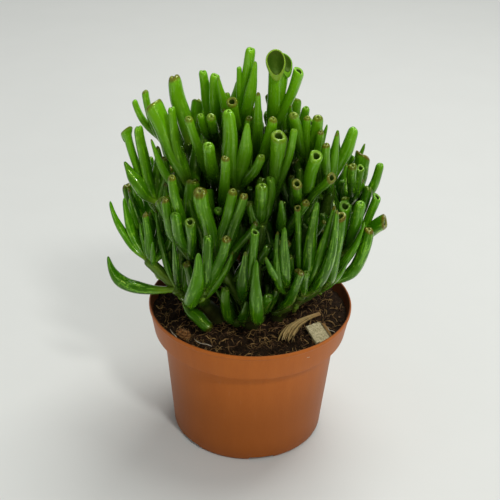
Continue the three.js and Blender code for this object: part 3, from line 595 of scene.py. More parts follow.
feed(shader, Base_Color=at_mm.noise(0.25, 2).step(0.35, 0.65).over(BROWN_FIBRE, STRAW_FIBRE))
dress(fibres, straw)
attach(fibres, "root")

root_lines = []
for line in PALE_ROOTS:
    dense = []
    for (x0, y0), (x1, y1) in zip(line, line[1:]):
        for share in (0, 0.33, 0.67):
            x, y = x0 + (x1 - x0) * share, y0 + (y1 - y0) * share
            x, y = x + chance.normal() * ROOT_WOBBLE, y + chance.normal() * ROOT_WOBBLE
            dense.append((x, y, on_peat(x, y) + 0.6))
    x, y = line[-1]
    dense.append((x, y, on_peat(x, y) - 0.2))
    root_lines.append((dense, ROOT_RADIUS))
roots = threads("fine_roots", root_lines, 1)
smooth(roots, 80)
root_finish, shader, at_mm = new_finish("fine_root", Roughness=0.6)
feed(shader, Base_Color=at_mm.noise(0.8, 2).over(TAN_ROOT, PALE_ROOT))
dress(roots, root_finish)
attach(roots, "root")

# Cuttings
# Nine rooted cuttings of the plant, set round the pot and grown into one bush. Each is a fleshy stem
# that forks into shoots, and every shoot ends in a tuft of finger leaves. They are one living piece.

STEM_DEPTH = 22.0
STEM_FOOT_RADIUS = 5.0
STEM_FORK_RADIUS = 4.0
SHOOT_TIP_RADIUS = 3.2
STEM_SIDES = 20
STEM_RINGS = 30
PLANT_SEED = 4711
UP = np.array([0.0, 0.0, 1.0])

# How leaves end: the tip's width against the leaf's, how far its rim slants, and the share of leaves.
# Spoons and clubs, which are fingers with a thick closed end, only grow where the front shows one.
TIP_FORMS = {
    "trumpet": (1.1, 0.5, 0.2), "finger": (0.84, 0.2, 0.5), "blade": (0.45, 0.6, 0.3),
    "spoon": (1.4, 0.8, 0), "club": (1.1, 0.2, 0),
}
T, F, B, S, C = TIP_FORMS

# Each cutting has its name in the part, its foot, its fork, and its shoots. A shoot has its end, the
# leaves seen from the front as (tip x, y, z, half thickness, form, sag), and its other leaves as
# (number, first heading, last heading, size).
CUTTINGS = [
    ("stem_front_left", (-20, -16), (-27, -20, 94), [
        ((-26, -36, 112), [(-23, -49, 153, 3.1, F, 0.2), (-13, -52, 154, 3.2, F, 0.08),
                           (-10, -42, 140, 2.8, B, 0.1)], (1, 20, 140, 1)),
        ((-38, -22, 99), [(-28, -50, 143, 4.6, B, 0.45)], (1, 40, 90, 0.8)),
        ((-42, -22, 104), [(-81, -16, 120, 4.4, B, 0.6), (-42, -38, 144, 2, B, 0.12),
                           (-19, -34, 86, 4.2, F, 0.1), (-53, -20, 152, 2.2, B, 0.1)],
         (2, 30, 110, 0.9)),
        ((-58, -17, 119), [(-80, -6, 150, 2.6, B, 0.27), (-72, -8, 153, 3.2, B, 0.2),
                           (-59, -20, 150, 2.9, F, 0.05), (-62, -18, 143, 1.7, B, 0.05),
                           (-54, -30, 138, 1.6, B, 0.1), (-70, 0, 149, 2.6, B, 0.15)],
         (1, 60, 120, 0.8)),
        ((-33, -29, 134), [(-46, -33, 166, 3.7, F, 0.3), (-41, -40, 161, 3.6, F, 0.12),
                           (-32, -44, 159, 2.6, T, 0.1), (-43, -36, 181, 3.3, F, 0.05)],
         (2, 20, 180, 1)),
    ]),
    ("stem_front", (1, -21), (1, -24, 92), [
        ((-20, -34, 134), [(-10, -45, 178, 3.3, F, 0.03), (-6, -46, 177, 3.1, F, 0.1),
                           (-26, -42, 177, 4.7, C, 0.05)], (2, 30, 190, 1)),
        ((-5, -30, 104), [(2, -50, 156, 2.3, T, 0.15), (-3, -48, 142, 3.2, B, 0.25)],
         (2, 30, 150, 1)),
        ((-9, -26, 85), [(-14, -36, 114, 2.9, F, 0.3), (-3, -37, 106, 3, B, 0.2)],
         (1, 150, 200, 0.8)),
        ((7, -26, 88), [(2, -48, 139, 3.9, B, 0.4)], (0, 0, 0, 1)),
        ((5, -30, 151), [(4, -44, 181, 3.5, F, 0.1), (-2, -36, 167, 3, F, 0.15)],
         (0, 0, 0, 1)),
    ]),
    ("stem_front_right", (17, -11), (24, -18, 95), [
        ((20, -34, 117), [(8, -52, 144, 2.5, B, 0.15), (16, -50, 160, 3.3, B, 0.2),
                          (13, -46, 154, 2.6, B, 0.35)], (2, 40, 140, 1)),
        ((28, -24, 103), [(43, -38, 167, 3.6, B, 0.1), (23, -40, 167, 1.8, T, 0.05),
                          (33, -38, 169, 4.2, B, 0.08), (44, -40, 166, 3.6, B, 0.3)],
         (2, 30, 100, 1)),
        ((13, -22, 91), [(27, -44, 132, 3, F, 0.15)], (1, 0, 60, 0.8)),
        ((42, -18, 109), [(64, -20, 145, 4, F, 0.4), (46, -35, 160, 3, T, 0.3),
                          (53, -29, 130, 2, B, 0.15), (61, -22, 150, 3, B, 0.15)],
         (1, 90, 150, 1)),
        ((25, -16, 160), [(32, -34, 194, 3.6, T, 0.08), (23, -41, 180, 2.6, T, 0.2),
                          (41, -30, 180, 2.8, T, -0.02)], (0, 0, 0, 1)),
    ]),
    ("stem_right", (28, 9), (37, 6, 110), [
        ((55, -4, 124), [(69, -4, 157, 2.8, T, 0.15), (58, -20, 161, 3.6, F, 0.15),
                         (74, -10, 145, 4.3, T, -0.08)], (2, 60, 130, 0.9)),
        ((43, 1, 160), [(54, 2, 195, 4, F, 0), (37, -24, 196, 2.7, F, 0.2),
                        (43, -16, 199, 2.6, B, 0.1)], (2, 30, 190, 0.7)),
        ((57, 13, 146), [(53, -14, 180, 3, F, 0.1), (58, -6, 175, 2.3, T, 0.15),
                         (70, 4, 173, 3.1, F, 0.2), (61, 2, 164, 3.6, B, 0.1)],
         (2, 40, 140, 0.75)),
        ((51, 28, 114), [], (4, -30, 150, 1)),
        ((39, -2, 120), [], (2, 210, 360, 1)),
    ]),
    ("stem_left", (-28, 7), (-36, 4, 110), [
        ((-54, -2, 148), [(-72, 1, 171, 4.6, B, 0.15), (-64, 2, 192, 3.7, F, 0.1),
                          (-71, 6, 188, 2.7, S, 0.15)], (2, 60, 150, 0.75)),
        ((-34, -9, 159), [(-56, 4, 204, 5.4, T, 0), (-45, -6, 207, 2.8, F, 0.08),
                          (-56, -8, 189, 2.7, B, 0.15)], (2, 60, 190, 0.7)),
        ((-58, 14, 120), [], (4, 80, 250, 1)),
        ((-48, 30, 114), [], (4, 40, 260, 1)),
        ((-40, 2, 118), [], (2, 160, 330, 1)),
        ((-21, 0, 160), [(-35, -20, 207, 3.3, F, 0.1), (-24, -36, 197, 3.8, F, 0.15)],
         (1, 180, 260, 1)),
    ]),
    ("stem_centre", (0, 2), (0, -2, 118), [
        ((0, -4, 172), [(1, -20, 222, 3, B, 0.05), (9, -30, 212, 3.2, F, 0.1)],
         (2, 60, 160, 1)),
        ((-17, -12, 146), [(-15, -40, 194, 3, F, 0.15), (-20, -38, 162, 2.2, C, 0)],
         (0, 0, 0, 1)),
        ((15, -12, 132), [(14, -44, 172, 2.6, B, 0.1)], (2, 250, 420, 1)),
        ((10, -13, 160), [(12, -33, 204, 3.4, T, 0.12), (20, -29, 206, 2.4, F, 0.12)],
         (2, 20, 120, 1)),
        ((-9, -18, 166), [(-4, -33, 210, 4.1, B, 0.08), (-14, -27, 214, 4.4, F, 0.1)],
         (1, 60, 160, 1)),
        ((-8, 4, 193), [(-4, -4, 240, 3.4, F, 0), (-1, -10, 235, 3.1, B, 0.05),
                        (-20, -11, 226, 2.7, B, 0.1), (-9, -2, 229, 1.6, F, 0),
                        (-13, -18, 216, 2.8, T, 0.1)], (2, 60, 140, 0.6)),
        ((8, 6, 192), [(10, -8, 236, 3.6, S, 0.1), (14, -1, 233, 3.2, S, 0.05),
                       (22, -2, 228, 3.3, T, 0.05)], (2, 40, 120, 0.6)),
    ]),
    ("stem_back_left", (-15, 24), (-21, 22, 122), [
        ((-37, 10, 180), [(-45, 12, 218, 5.2, F, 0.02), (-66, 12, 204, 2.5, F, 0.35),
                          (-61, 10, 209, 2.7, F, 0.35)], (2, 40, 170, 0.6)),
        ((-23, 16, 186), [(-29, 4, 224, 3, F, 0.05), (-28, -18, 208, 2.3, F, 0.2),
                          (-22, -4, 225, 3.3, F, 0.08), (-24, -22, 209, 3, F, 0.15)],
         (2, 50, 170, 0.55)),
        ((-38, 36, 134), [], (5, 10, 270, 1)),
        ((-15, 26, 150), [], (4, 0, 330, 1)),
        ((-26, 50, 112), [], (5, 10, 230, 1)),
    ]),
    ("stem_back_right", (16, 23), (21, 22, 122), [
        ((19, 15, 186), [(18, -14, 213, 2.1, B, 0.15)], (2, 20, 150, 0.6)),
        ((32, 10, 170), [(31, -19, 209, 3.2, F, 0.15), (26, -20, 209, 2.3, F, 0.15),
                         (34, -20, 201, 2.3, F, 0.2), (21, -26, 214, 3.3, F, 0.1)],
         (2, 0, 140, 0.65)),
        ((41, 32, 136), [], (5, -60, 190, 1)),
        ((15, 26, 152), [], (4, -150, 190, 1)),
        ((28, 48, 112), [], (4, -30, 180, 1)),
    ]),
    ("stem_back", (1, 37), (1, 40, 104), [
        ((1, 58, 112), [], (5, -20, 200, 1)),
        ((-12, 46, 138), [], (5, -10, 260, 1)),
        ((12, 44, 141), [], (4, -40, 230, 1)),
    ]),
]

state = PLANT_SEED


def draw(low, high):
    """A random draw from low to high, the same as the part's: whole numbers under 2^31."""
    global state
    state = state * 16807 % 2147483647
    return low + (high - low) * state / 2147483647


def unit(vector):
    return vector / np.linalg.norm(vector)


def step_between(value, low, high):
    share = np.clip((value - low) / (high - low), 0, 1)
    return share * share * (3 - 2 * share)


def on_curve(root, bend, tip, at):
    """Points of a quadratic curve, a row for each place along it."""
    at = np.asarray(at, float)[..., None]
    return (1 - at) ** 2 * root + 2 * (1 - at) * at * bend + at * at * tip


def on_trunk(bottom, collar, fork, at):
    """Points of a trunk's line: a centripetal spline through its bottom, its collar and its fork."""
    knots = [2 * bottom - collar, bottom, collar, fork, 2 * fork - collar]
    points = []
    for place in np.atleast_1d(at):
        k = min(int(place * 2), 1)
        share = place * 2 - k
        p = knots[k : k + 4]
        gaps = [max(np.linalg.norm(p[i + 1] - p[i]) ** 0.5, 1e-4) for i in range(3)]
        slope1 = (p[1] - p[0]) / gaps[0] - (p[2] - p[0]) / (gaps[0] + gaps[1]) + (p[2] - p[1]) / gaps[1]
        slope2 = (p[2] - p[1]) / gaps[1] - (p[3] - p[1]) / (gaps[1] + gaps[2]) + (p[3] - p[2]) / gaps[2]
        m1, m2 = slope1 * gaps[1], slope2 * gaps[1]
        s2, s3 = share * share, share**3
        points.append(
            (2 * s3 - 3 * s2 + 1) * p[1] + (s3 - 2 * s2 + share) * m1
            + (3 * s2 - 2 * s3) * p[2] + (s3 - s2) * m2
        )
    return np.array(points)


# Grown places: every stem as a line with a radius at both ends, and every leaf as root, bend and tip.
# Leaves leave a shoot at three levels, and lean out more at each level down. Angles are in degrees.
LEAF_LENGTH = 43.0
LENGTH_RANGE = (0.82, 1.16)
LEAF_HALF_THICKNESS = 4.2
THICKNESS_RANGE = (0.78, 1.14)
SAG_RANGE = (0.06, 0.22)
LEVEL_SPACING = 4.4
LEVELS = 3
TOP_LEAN = 14
LEAN_PER_LEVEL = 12
LEAN_SPREAD = 8
HEADING_SPREAD = 14
FACE_SPREAD = 30
SHOOT_SHARE = 0.25
BEND_PLACE = 0.45
stems = []
leaves = []
shoot_count = 0


def grow_leaf(shoot, level, tip, radius, form, sag, seen):
    """A leaf between its root and tip. It leaves the shoot low and outwards, then turns up."""
    root = shoot["end"] - shoot["axis"] * level * LEVEL_SPACING
    chord = tip - root
    out = np.array([chord[0], chord[1], 0.0])
    if np.linalg.norm(out) < 2:
        out = np.array([root[0], root[1], 0.0])
    side = (unit(out) - UP) * math.sqrt(0.5)
    bend = root + BEND_PLACE * chord + side * sag * np.linalg.norm(chord)
    face = math.radians(draw(-FACE_SPREAD, FACE_SPREAD))
    leaves.append(
        {"root": root, "bend": bend, "tip": tip, "radius": radius, "form": form, "face": face,
         "seen": seen, "cutting": shoot["cutting"], "shoot": shoot["shoot"]}
    )


for index, (name, (x, y), fork, shoots) in enumerate(CUTTINGS):
    bottom = np.array([x, y, PEAT_TOP - STEM_DEPTH + 2])
    collar = np.array([x, y, PEAT_TOP + 4])
    fork = np.array(fork, float)
    stems.append(
        {"line": lambda at, ends=(bottom, collar, fork): on_trunk(*ends, at), "cutting": index,
         "shoot": -1, "radii": (STEM_FOOT_RADIUS, STEM_FORK_RADIUS)}
    )
    grown = []
    for end, seen, others in shoots:
        end = np.array(end, float)
        middle = (fork + end) / 2
        middle[2] -= 0.12 * np.linalg.norm(end - fork)
        axis = unit(unit(end - middle) * 0.65 + UP * 0.35)
        grown.append(
            {"line": lambda at, ends=(fork, middle, end): on_curve(*ends, np.atleast_1d(at)),
             "cutting": index, "shoot": shoot_count, "radii": (0.95 * STEM_FORK_RADIUS, SHOOT_TIP_RADIUS),
             "end": end, "axis": axis, "seen": seen, "others": others}
        )
        shoot_count += 1
    stems += grown
    for shoot in grown:
        for k, (tx, ty, tz, radius, form, sag) in enumerate(shoot["seen"]):
            tip = np.array([tx, ty, tz], float)
            grow_leaf(shoot, k % LEVELS, tip, radius, form, sag, True)
        count, first, last, size = shoot["others"]
        for k in range(count):
            level = (k + 1) % LEVELS
            heading = first + (last - first) * (k + 0.5) / count
            heading = math.radians(heading + draw(-HEADING_SPREAD, HEADING_SPREAD))
            lean = TOP_LEAN + LEAN_PER_LEVEL * level
            lean = math.radians(lean + draw(-LEAN_SPREAD, LEAN_SPREAD))
            length = size * LEAF_LENGTH * draw(*LENGTH_RANGE)
            radius = math.sqrt(size) * LEAF_HALF_THICKNESS * draw(*THICKNESS_RANGE)
            sag = draw(*SAG_RANGE)
            out = np.array([math.cos(heading), math.sin(heading), 0.0]) * math.sin(lean)
            straight = (1 - SHOOT_SHARE) * (out + UP * math.cos(lean))
            along = unit(straight + SHOOT_SHARE * shoot["axis"])
            tip = shoot["end"] - shoot["axis"] * level * LEVEL_SPACING + along * length
            rest = draw(0, 1)
            form = F
            for kind, (_, _, share) in TIP_FORMS.items():
                if rest < share:
                    form = kind
                    break
                rest -= share
            grow_leaf(shoot, level, tip, radius, form, sag, False)

# Settling: the leaves bend out of each other's way, as they do in the part, so each lies where its
# solid lies. A leaf is three straight lengths, held at its root, and keeps its length. Leaves of one
# cutting press into each other a little, and those that are seen from the front yield least.
ROUNDS = 110
PUSH = 0.45
SPRING = 0.025
FREE_PLACE = 0.3
OUTER_PLACE = 0.5
CLEAR_GAP = 0.6
PRESSED_GAP = -0.4
SEEN_YIELDS = 0.15
SEEN_MEETS_OTHER = 0.3
NEAR = 35.0
ROOT_SHARE = 0.45
FACET_SHARE = 1.03
OVER_RIM_RADIUS = RIM_RADIUS - 14
OVER_RIM_HEIGHT = POT_HEIGHT + 1.5
OVER_PEAT_HEIGHT = PEAT_TOP + PEAT_RELIEF + 1
STATIONS = np.array([0, 0.3, 0.7, 1])

root, bend, tip = (np.array([leaf[key] for leaf in leaves]) for key in ("root", "bend", "tip"))
leaf_radius = np.array([leaf["radius"] for leaf in leaves])
tip_share = np.array([TIP_FORMS[leaf["form"]][0] for leaf in leaves])
seen = np.array([leaf["seen"] for leaf in leaves])
yields = np.where(seen, SEEN_YIELDS, 1.0)


def radius_at(radius, share, at):
    """Half thickness of a leaf at a place from 0 at its root to 1 at its tip."""
    swell = ROOT_SHARE + (1 - ROOT_SHARE) * step_between(at, 0, 0.45)
    return radius * swell * (1 + (share - 1) * step_between(at, 0.6, 1))


station_radii = radius_at(leaf_radius[:, None], tip_share[:, None], STATIONS[None]) * FACET_SHARE
moving = len(leaves) * 3
owner = np.repeat(np.arange(len(leaves)), 3)
first_length = np.tile([True, False, False], len(leaves))
cutting_of = np.array([leaf["cutting"] for leaf in leaves])[owner]
shoot_of = np.array([leaf["shoot"] for leaf in leaves])[owner]
from_place = np.tile(STATIONS[:-1], len(leaves))
to_place = np.tile(STATIONS[1:], len(leaves))
still_from, still_to, still_radii, still_cutting, still_shoot = [], [], [], [], []
for stem in stems:
    line = stem["line"](np.linspace(0, 1, 5))
    steps = np.linspace(*stem["radii"], 5)
    still_from += list(line[:-1])
    still_to += list(line[1:])
    still_radii += list(zip(steps[:-1], steps[1:]))
    still_cutting += [stem["cutting"]] * 4
    still_shoot += [stem["shoot"]] * 4
owner = np.concatenate([owner, np.full(len(still_from), -1)])
first_length = np.concatenate([first_length, np.tile([True, False, False, False], len(stems))])
cutting_of = np.concatenate([cutting_of, still_cutting])
shoot_of = np.concatenate([shoot_of, still_shoot])
from_place = np.concatenate([from_place, np.zeros(len(still_from))])
to_place = np.concatenate([to_place, np.zeros(len(still_from))])
from_radius = np.concatenate([station_radii[:, :-1].ravel(), np.array(still_radii)[:, 0]])
to_radius = np.concatenate([station_radii[:, 1:].ravel(), np.array(still_radii)[:, 1]])

one, other = np.triu_indices(len(owner), 1)
kept = (one < moving) & (owner[one] != owner[other])
outer = (owner >= 0) & (from_place >= OUTER_PLACE)
kept &= (shoot_of[one] != shoot_of[other]) | (outer[one] & outer[other])
kept &= ~(first_length[one] & (cutting_of[one] == cutting_of[other]))
one, other = one[kept], other[kept]


def share_push(push, count, leaf, at, by):
    """Shares pushes at places of leaves between their bend points and tips."""
    b, c = 2 * (1 - at) * at, at * at
    scale = 1 / (b * b + c * c)
    for axis in range(3):
        push[0][:, axis] += np.bincount(leaf, by[:, axis] * b * scale, len(leaves))
        push[1][:, axis] += np.bincount(leaf, by[:, axis] * c * scale, len(leaves))
    count += np.bincount(leaf, minlength=len(leaves))


def dot(one, other):
    """Dot products of vectors, row by row."""
    return np.einsum("ij,ij->i", one, other)


def nearest_shares(first, second, between):
    """Shares along pairs of straight lengths where they come nearest, a row for each pair."""
    first_square, second_square, product = dot(first, first), dot(second, second), dot(first, second)
    on_first, on_second = dot(first, between), dot(second, between)
    flat = first_square * second_square - product * product
    share = (product * on_second - on_first * second_square) / np.maximum(flat, 1e-9)
    share = np.where(flat > 1e-9, np.clip(share, 0, 1), 0)
    other_share = np.clip((product * share + on_second) / second_square, 0, 1)
    return np.clip((product * other_share - on_first) / first_square, 0, 1), other_share


grown_bend, grown_tip = bend.copy(), tip.copy()
halves = np.linalg.norm(bend - root, axis=1), np.linalg.norm(tip - bend, axis=1)
for turn_number in range(ROUNDS):
    stations = on_curve(root[:, None], bend[:, None], tip[:, None], STATIONS[None])
    from_point = np.concatenate([stations[:, :-1].reshape(-1, 3), still_from])
    to_point = np.concatenate([stations[:, 1:].reshape(-1, 3), still_to])
    between = from_point[one] - from_point[other]
    close = dot(between, between) <= NEAR**2
    i, j, r = one[close], other[close], between[close]
    first, second = to_point[i] - from_point[i], to_point[j] - from_point[j]
    s, t = nearest_shares(first, second, r)
    apart = r + first * s[:, None] - second * t[:, None]
    distance = np.linalg.norm(apart, axis=1)
    reach = from_radius[i] + (to_radius[i] - from_radius[i]) * s
    reach = reach + from_radius[j] + (to_radius[j] - from_radius[j]) * t
    gap = np.where(cutting_of[i] == cutting_of[j], PRESSED_GAP, CLEAR_GAP)
    deficit = reach + gap - distance
    touching = (deficit > 0) & (distance >= 1e-6)
    i, j, s, t = i[touching], j[touching], s[touching], t[touching]
    by = apart[touching] * (deficit * PUSH / np.maximum(distance, 1e-6))[touching][:, None]
    place_one = from_place[i] + (to_place[i] - from_place[i]) * s
    place_other = from_place[j] + (to_place[j] - from_place[j]) * t
    push = np.zeros_like(root), np.zeros_like(root)
    count = np.zeros(len(leaves), int)
    soft = owner[j] >= 0
    one_seen, other_seen = seen[owner[i]], soft & seen[owner[j]]
    stiff_one = np.where(one_seen & soft & ~other_seen, SEEN_MEETS_OTHER, 1.0)[:, None]
    stiff_other = np.where(other_seen & ~one_seen, SEEN_MEETS_OTHER, 1.0)[:, None]
    share_push(push, count, owner[i], np.maximum(place_one, FREE_PLACE), by * stiff_one)
    by = -by * stiff_other
    share_push(push, count, owner[j][soft], np.maximum(place_other, FREE_PLACE)[soft], by[soft])
    ends = to_point[:moving]
    far_out = np.hypot(ends[:, 0], ends[:, 1]) > OVER_RIM_RADIUS
    ground = np.where(far_out, OVER_RIM_HEIGHT, OVER_PEAT_HEIGHT)
    sunk = ground + to_radius[:moving] - ends[:, 2]
    low = np.flatnonzero(sunk > 0)
    lift = np.zeros((len(low), 3))
    lift[:, 2] = sunk[low] * 0.5
    share_push(push, count, owner[low], to_place[low], lift)
    spring = SPRING * (1 - turn_number / ROUNDS)
    ease = (yields * np.where(count > 2, 2 / np.maximum(count, 1), 1))[:, None]
    bend = bend + push[0] * ease
    bend = bend + (grown_bend - bend) * spring
    tip = tip + push[1] * ease
    tip = tip + (grown_tip - tip) * spring
    arm = bend - root
    bend = root + arm * (halves[0] / np.linalg.norm(arm, axis=1))[:, None]
    arm = tip - bend
    tip = bend + arm * (halves[1] / np.linalg.norm(arm, axis=1))[:, None]

# Inner leaves: short ones low on the shoots, which fill the bush and are hardly seen. One grows only
# where it keeps clear of all the others, and well inside the bush.
INNER_TRIES = 130
INNER_LEAVES_PER_SHOOT = 5
INNER_GAP = -0.3
INNER_PLACE = (0.25, 1.0)
INNER_LEAN = (6, 40)
INNER_LENGTH = (18, 36)
INNER_HALF_THICKNESS = (2.3, 3.6)
INNER_SHARE_OUT = 0.66
INNER_SHARE_UP = 0.7
BUSH_RADIUS = 80.0
BUSH_MIDDLE = 140.0
BUSH_HALF_HEIGHT = 105.0


def nearest_gap(p1, q1, r1, p2, q2, r2):
    """The gap between a length and others, with the radii at their ends: one value for each other."""
    second = q2 - p2
    first = np.broadcast_to(q1 - p1, second.shape)
    s, t = nearest_shares(first, second, p1 - p2)
    apart = np.linalg.norm(p1 - p2 + s[:, None] * first - t[:, None] * second, axis=1)
    return apart - (r1[0] + (r1[1] - r1[0]) * s) - (r2[0] + (r2[1] - r2[0]) * t)


stations = on_curve(root[:, None], bend[:, None], tip[:, None], STATIONS[None])
from_point = np.concatenate([stations[:, :-1].reshape(-1, 3), still_from])
to_point = np.concatenate([stations[:, 1:].reshape(-1, 3), still_to])
chance = np.random.default_rng(PLANT_SEED)
laid = [(root[k], bend[k], tip[k]) for k in range(len(leaves))]
for stem in stems:
    grown = 0
    for _ in range(INNER_TRIES if stem["shoot"] >= 0 else 0):
        place = chance.uniform(*INNER_PLACE)
        start = stem["line"](np.array([place]))[0]
        heading, lean = chance.uniform(0, 2 * math.pi), math.radians(chance.uniform(*INNER_LEAN))
        length, radius = chance.uniform(*INNER_LENGTH), chance.uniform(*INNER_HALF_THICKNESS)
        out = np.array([math.cos(heading), math.sin(heading), 0.0])
        end = start + (out * math.sin(lean) + UP * math.cos(lean)) * length
        middle = (start + end) / 2 + (out - UP) * 0.1 * length
        height = (end[2] - BUSH_MIDDLE) / BUSH_HALF_HEIGHT
        if abs(height) > INNER_SHARE_UP:
            continue
        if np.hypot(*end[:2]) > INNER_SHARE_OUT * BUSH_RADIUS * math.sqrt(1 - height**2):
            continue
        line = on_curve(start, middle, end, STATIONS)
        wide = radius_at(radius, TIP_FORMS[F][0], STATIONS)
        own = shoot_of == stem["shoot"]
        clear = all(
            np.min(nearest_gap(
                line[k], line[k + 1], (wide[k], wide[k + 1]),
                from_point[others], to_point[others], (from_radius[others], to_radius[others]),
            )) > INNER_GAP
            for k, others in ((0, cutting_of != stem["cutting"]), (1, ~own), (2, owner > -2))
        )
        if not clear:
            continue
        leaves.append({"radius": radius, "form": F, "face": 0.0, "cutting": stem["cutting"]})
        laid.append((start, middle, end))
        from_point, to_point = np.vstack([from_point, line[:-1]]), np.vstack([to_point, line[1:]])
        from_radius, to_radius = np.append(from_radius, wide[:-1]), np.append(to_radius, wide[1:])
        owner = np.append(owner, [len(leaves) - 1] * 3)
        shoot_of = np.append(shoot_of, [stem["shoot"]] * 3)
        cutting_of = np.append(cutting_of, [stem["cutting"]] * 3)
        grown += 1
        if grown == INNER_LEAVES_PER_SHOOT:
            break

# The leaf shapes, one for each way to end, with a half thickness of 1 and a length of 10. Heights are
# measured back from the tip, and the end of a leaf is its last 1.6. Each shape is drawn out of a ring,
# like the stem shape after them. A lip is the ring where the end turns in, and shows more or less.
LEAF_SIDES = 22
END_BACK = 1.6
BODY_BACK = 8.4
BODY = [(0.5, 10.9), (0.8, 10.6), (0.97, 10.2)] + [(1.0, 10 - 0.5 * k) for k in range(17)]
LEAF_SHAPES = {
    "trumpet": BODY + [
        (1.0, 1.5), (0.99, 1.1), (1.0, 0.75), (1.01, 0.5), (1.0, 0.32), (0.97, 0.18), (0.91, 0.07),
        (0.83, 0.01), (0.74, 0.0), (0.65, 0.01), (0.56, 0.05), (0.48, 0.13), (0.42, 0.28),
        (0.38, 0.5), (0.34, 0.8), (0.28, 1.1), (0.16, 1.32), (0.04, 1.38),
    ],
    "finger": BODY + [
        (1.0, 1.55), (1.0, 1.2), (1.0, 0.92), (0.985, 0.68), (0.945, 0.47), (0.875, 0.29),
        (0.77, 0.15), (0.64, 0.06), (0.5, 0.015), (0.37, 0.0), (0.26, 0.01), (0.18, 0.05),
        (0.11, 0.1), (0.04, 0.12),
    ],
    "blade": BODY + [
        (1.0, 1.6), (0.98, 1.25), (0.94, 0.95), (0.87, 0.68), (0.77, 0.45), (0.64, 0.27),
        (0.49, 0.13), (0.32, 0.04), (0.16, 0.01), (0.04, 0.0),
    ],
    "spoon": BODY + [
        (1.0, 1.6), (1.06, 1.35), (1.17, 1.1), (1.3, 0.85), (1.41, 0.6), (1.48, 0.38), (1.5, 0.2),
        (1.47, 0.07), (1.4, 0.0), (1.31, 0.02), (1.22, 0.12), (1.12, 0.3), (1.0, 0.55),
        (0.84, 0.85), (0.6, 1.12), (0.3, 1.3), (0.04, 1.34),
    ],
}
LEAF_SHAPES["club"] = LEAF_SHAPES["finger"]
LIPS = {"trumpet": 0.6, "finger": 0.37, "blade": 0.0, "spoon": 1.4, "club": 0.37}
LIP_SHOWS = {"trumpet": 1.0, "finger": 0.6, "blade": 1.0, "spoon": 0.5, "club": 0.6}
leaf_shapes = {}
for form, profile in LEAF_SHAPES.items():
    flipped = [(radius, -height) for radius, height in profile]
    leaf_shapes[form] = turn(f"{form}_leaf", LEAF_SIDES, flipped, unit=1)
RING_SPACING = LEVEL_SPACING * 1.6
RING_SWELL = 0.07
STEM_END_LENGTH = 11.52
stem_profile = [(0.05, 0.0)] + [(1, k / (STEM_RINGS - 1)) for k in range(STEM_RINGS)]
stem_profile += [(0.86, 1.02), (0.5, 1.04), (0.05, 1.05)]
stem_shape = turn("stem", STEM_SIDES, stem_profile, unit=1)


def laid_along(line, at, x, y):
    """Places x and y across a line at places along it: sideways, and over. Returns points in mm."""
    step = 1e-3
    inner = np.clip(at, 0, 1)
    tangents = line(np.clip(inner + step, 0, 1)) - line(np.clip(inner - step, 0, 1))
    tangents /= np.linalg.norm(tangents, axis=1)[:, None]
    middle = unit((line(np.array([0.5 + step])) - line(np.array([0.5 - step])))[0])
    across = np.cross(middle, UP)
    across = unit(across) if np.linalg.norm(across) >= 0.05 else np.array([1.0, 0, 0])
    sideways = across - tangents * (tangents @ across)[:, None]
    sideways /= np.linalg.norm(sideways, axis=1)[:, None]
    over = np.cross(tangents, sideways)
    steps = line(np.linspace(0, 1, 40))
    length = np.linalg.norm(np.diff(steps, axis=0), axis=1).sum()
    beyond = ((at - inner) * length)[:, None] * tangents
    return line(inner) + sideways * x[:, None] + over * y[:, None] + beyond


def depth_in_bush(points):
    """How far inside the bush points in mm lie: 0 at its outside, and 1 well in, where the leaves get
    painted shade.
    """
    out = np.hypot(points[:, 0], points[:, 1]) / BUSH_RADIUS
    up = (points[:, 2] - BUSH_MIDDLE) / BUSH_HALF_HEIGHT
    return step_between(np.hypot(out, np.maximum(up, up * 0.3)), 0.95, 0.3)


def mark(piece, **values):
    """Writes values to a piece's vertices, for its material to read."""
    for name, value in values.items():
        layer = piece.data.attributes.new(name, "FLOAT", "POINT")
        data = np.broadcast_to(np.asarray(value, np.float32), len(piece.data.vertices))
        layer.data.foreach_set("value", np.ascontiguousarray(data))


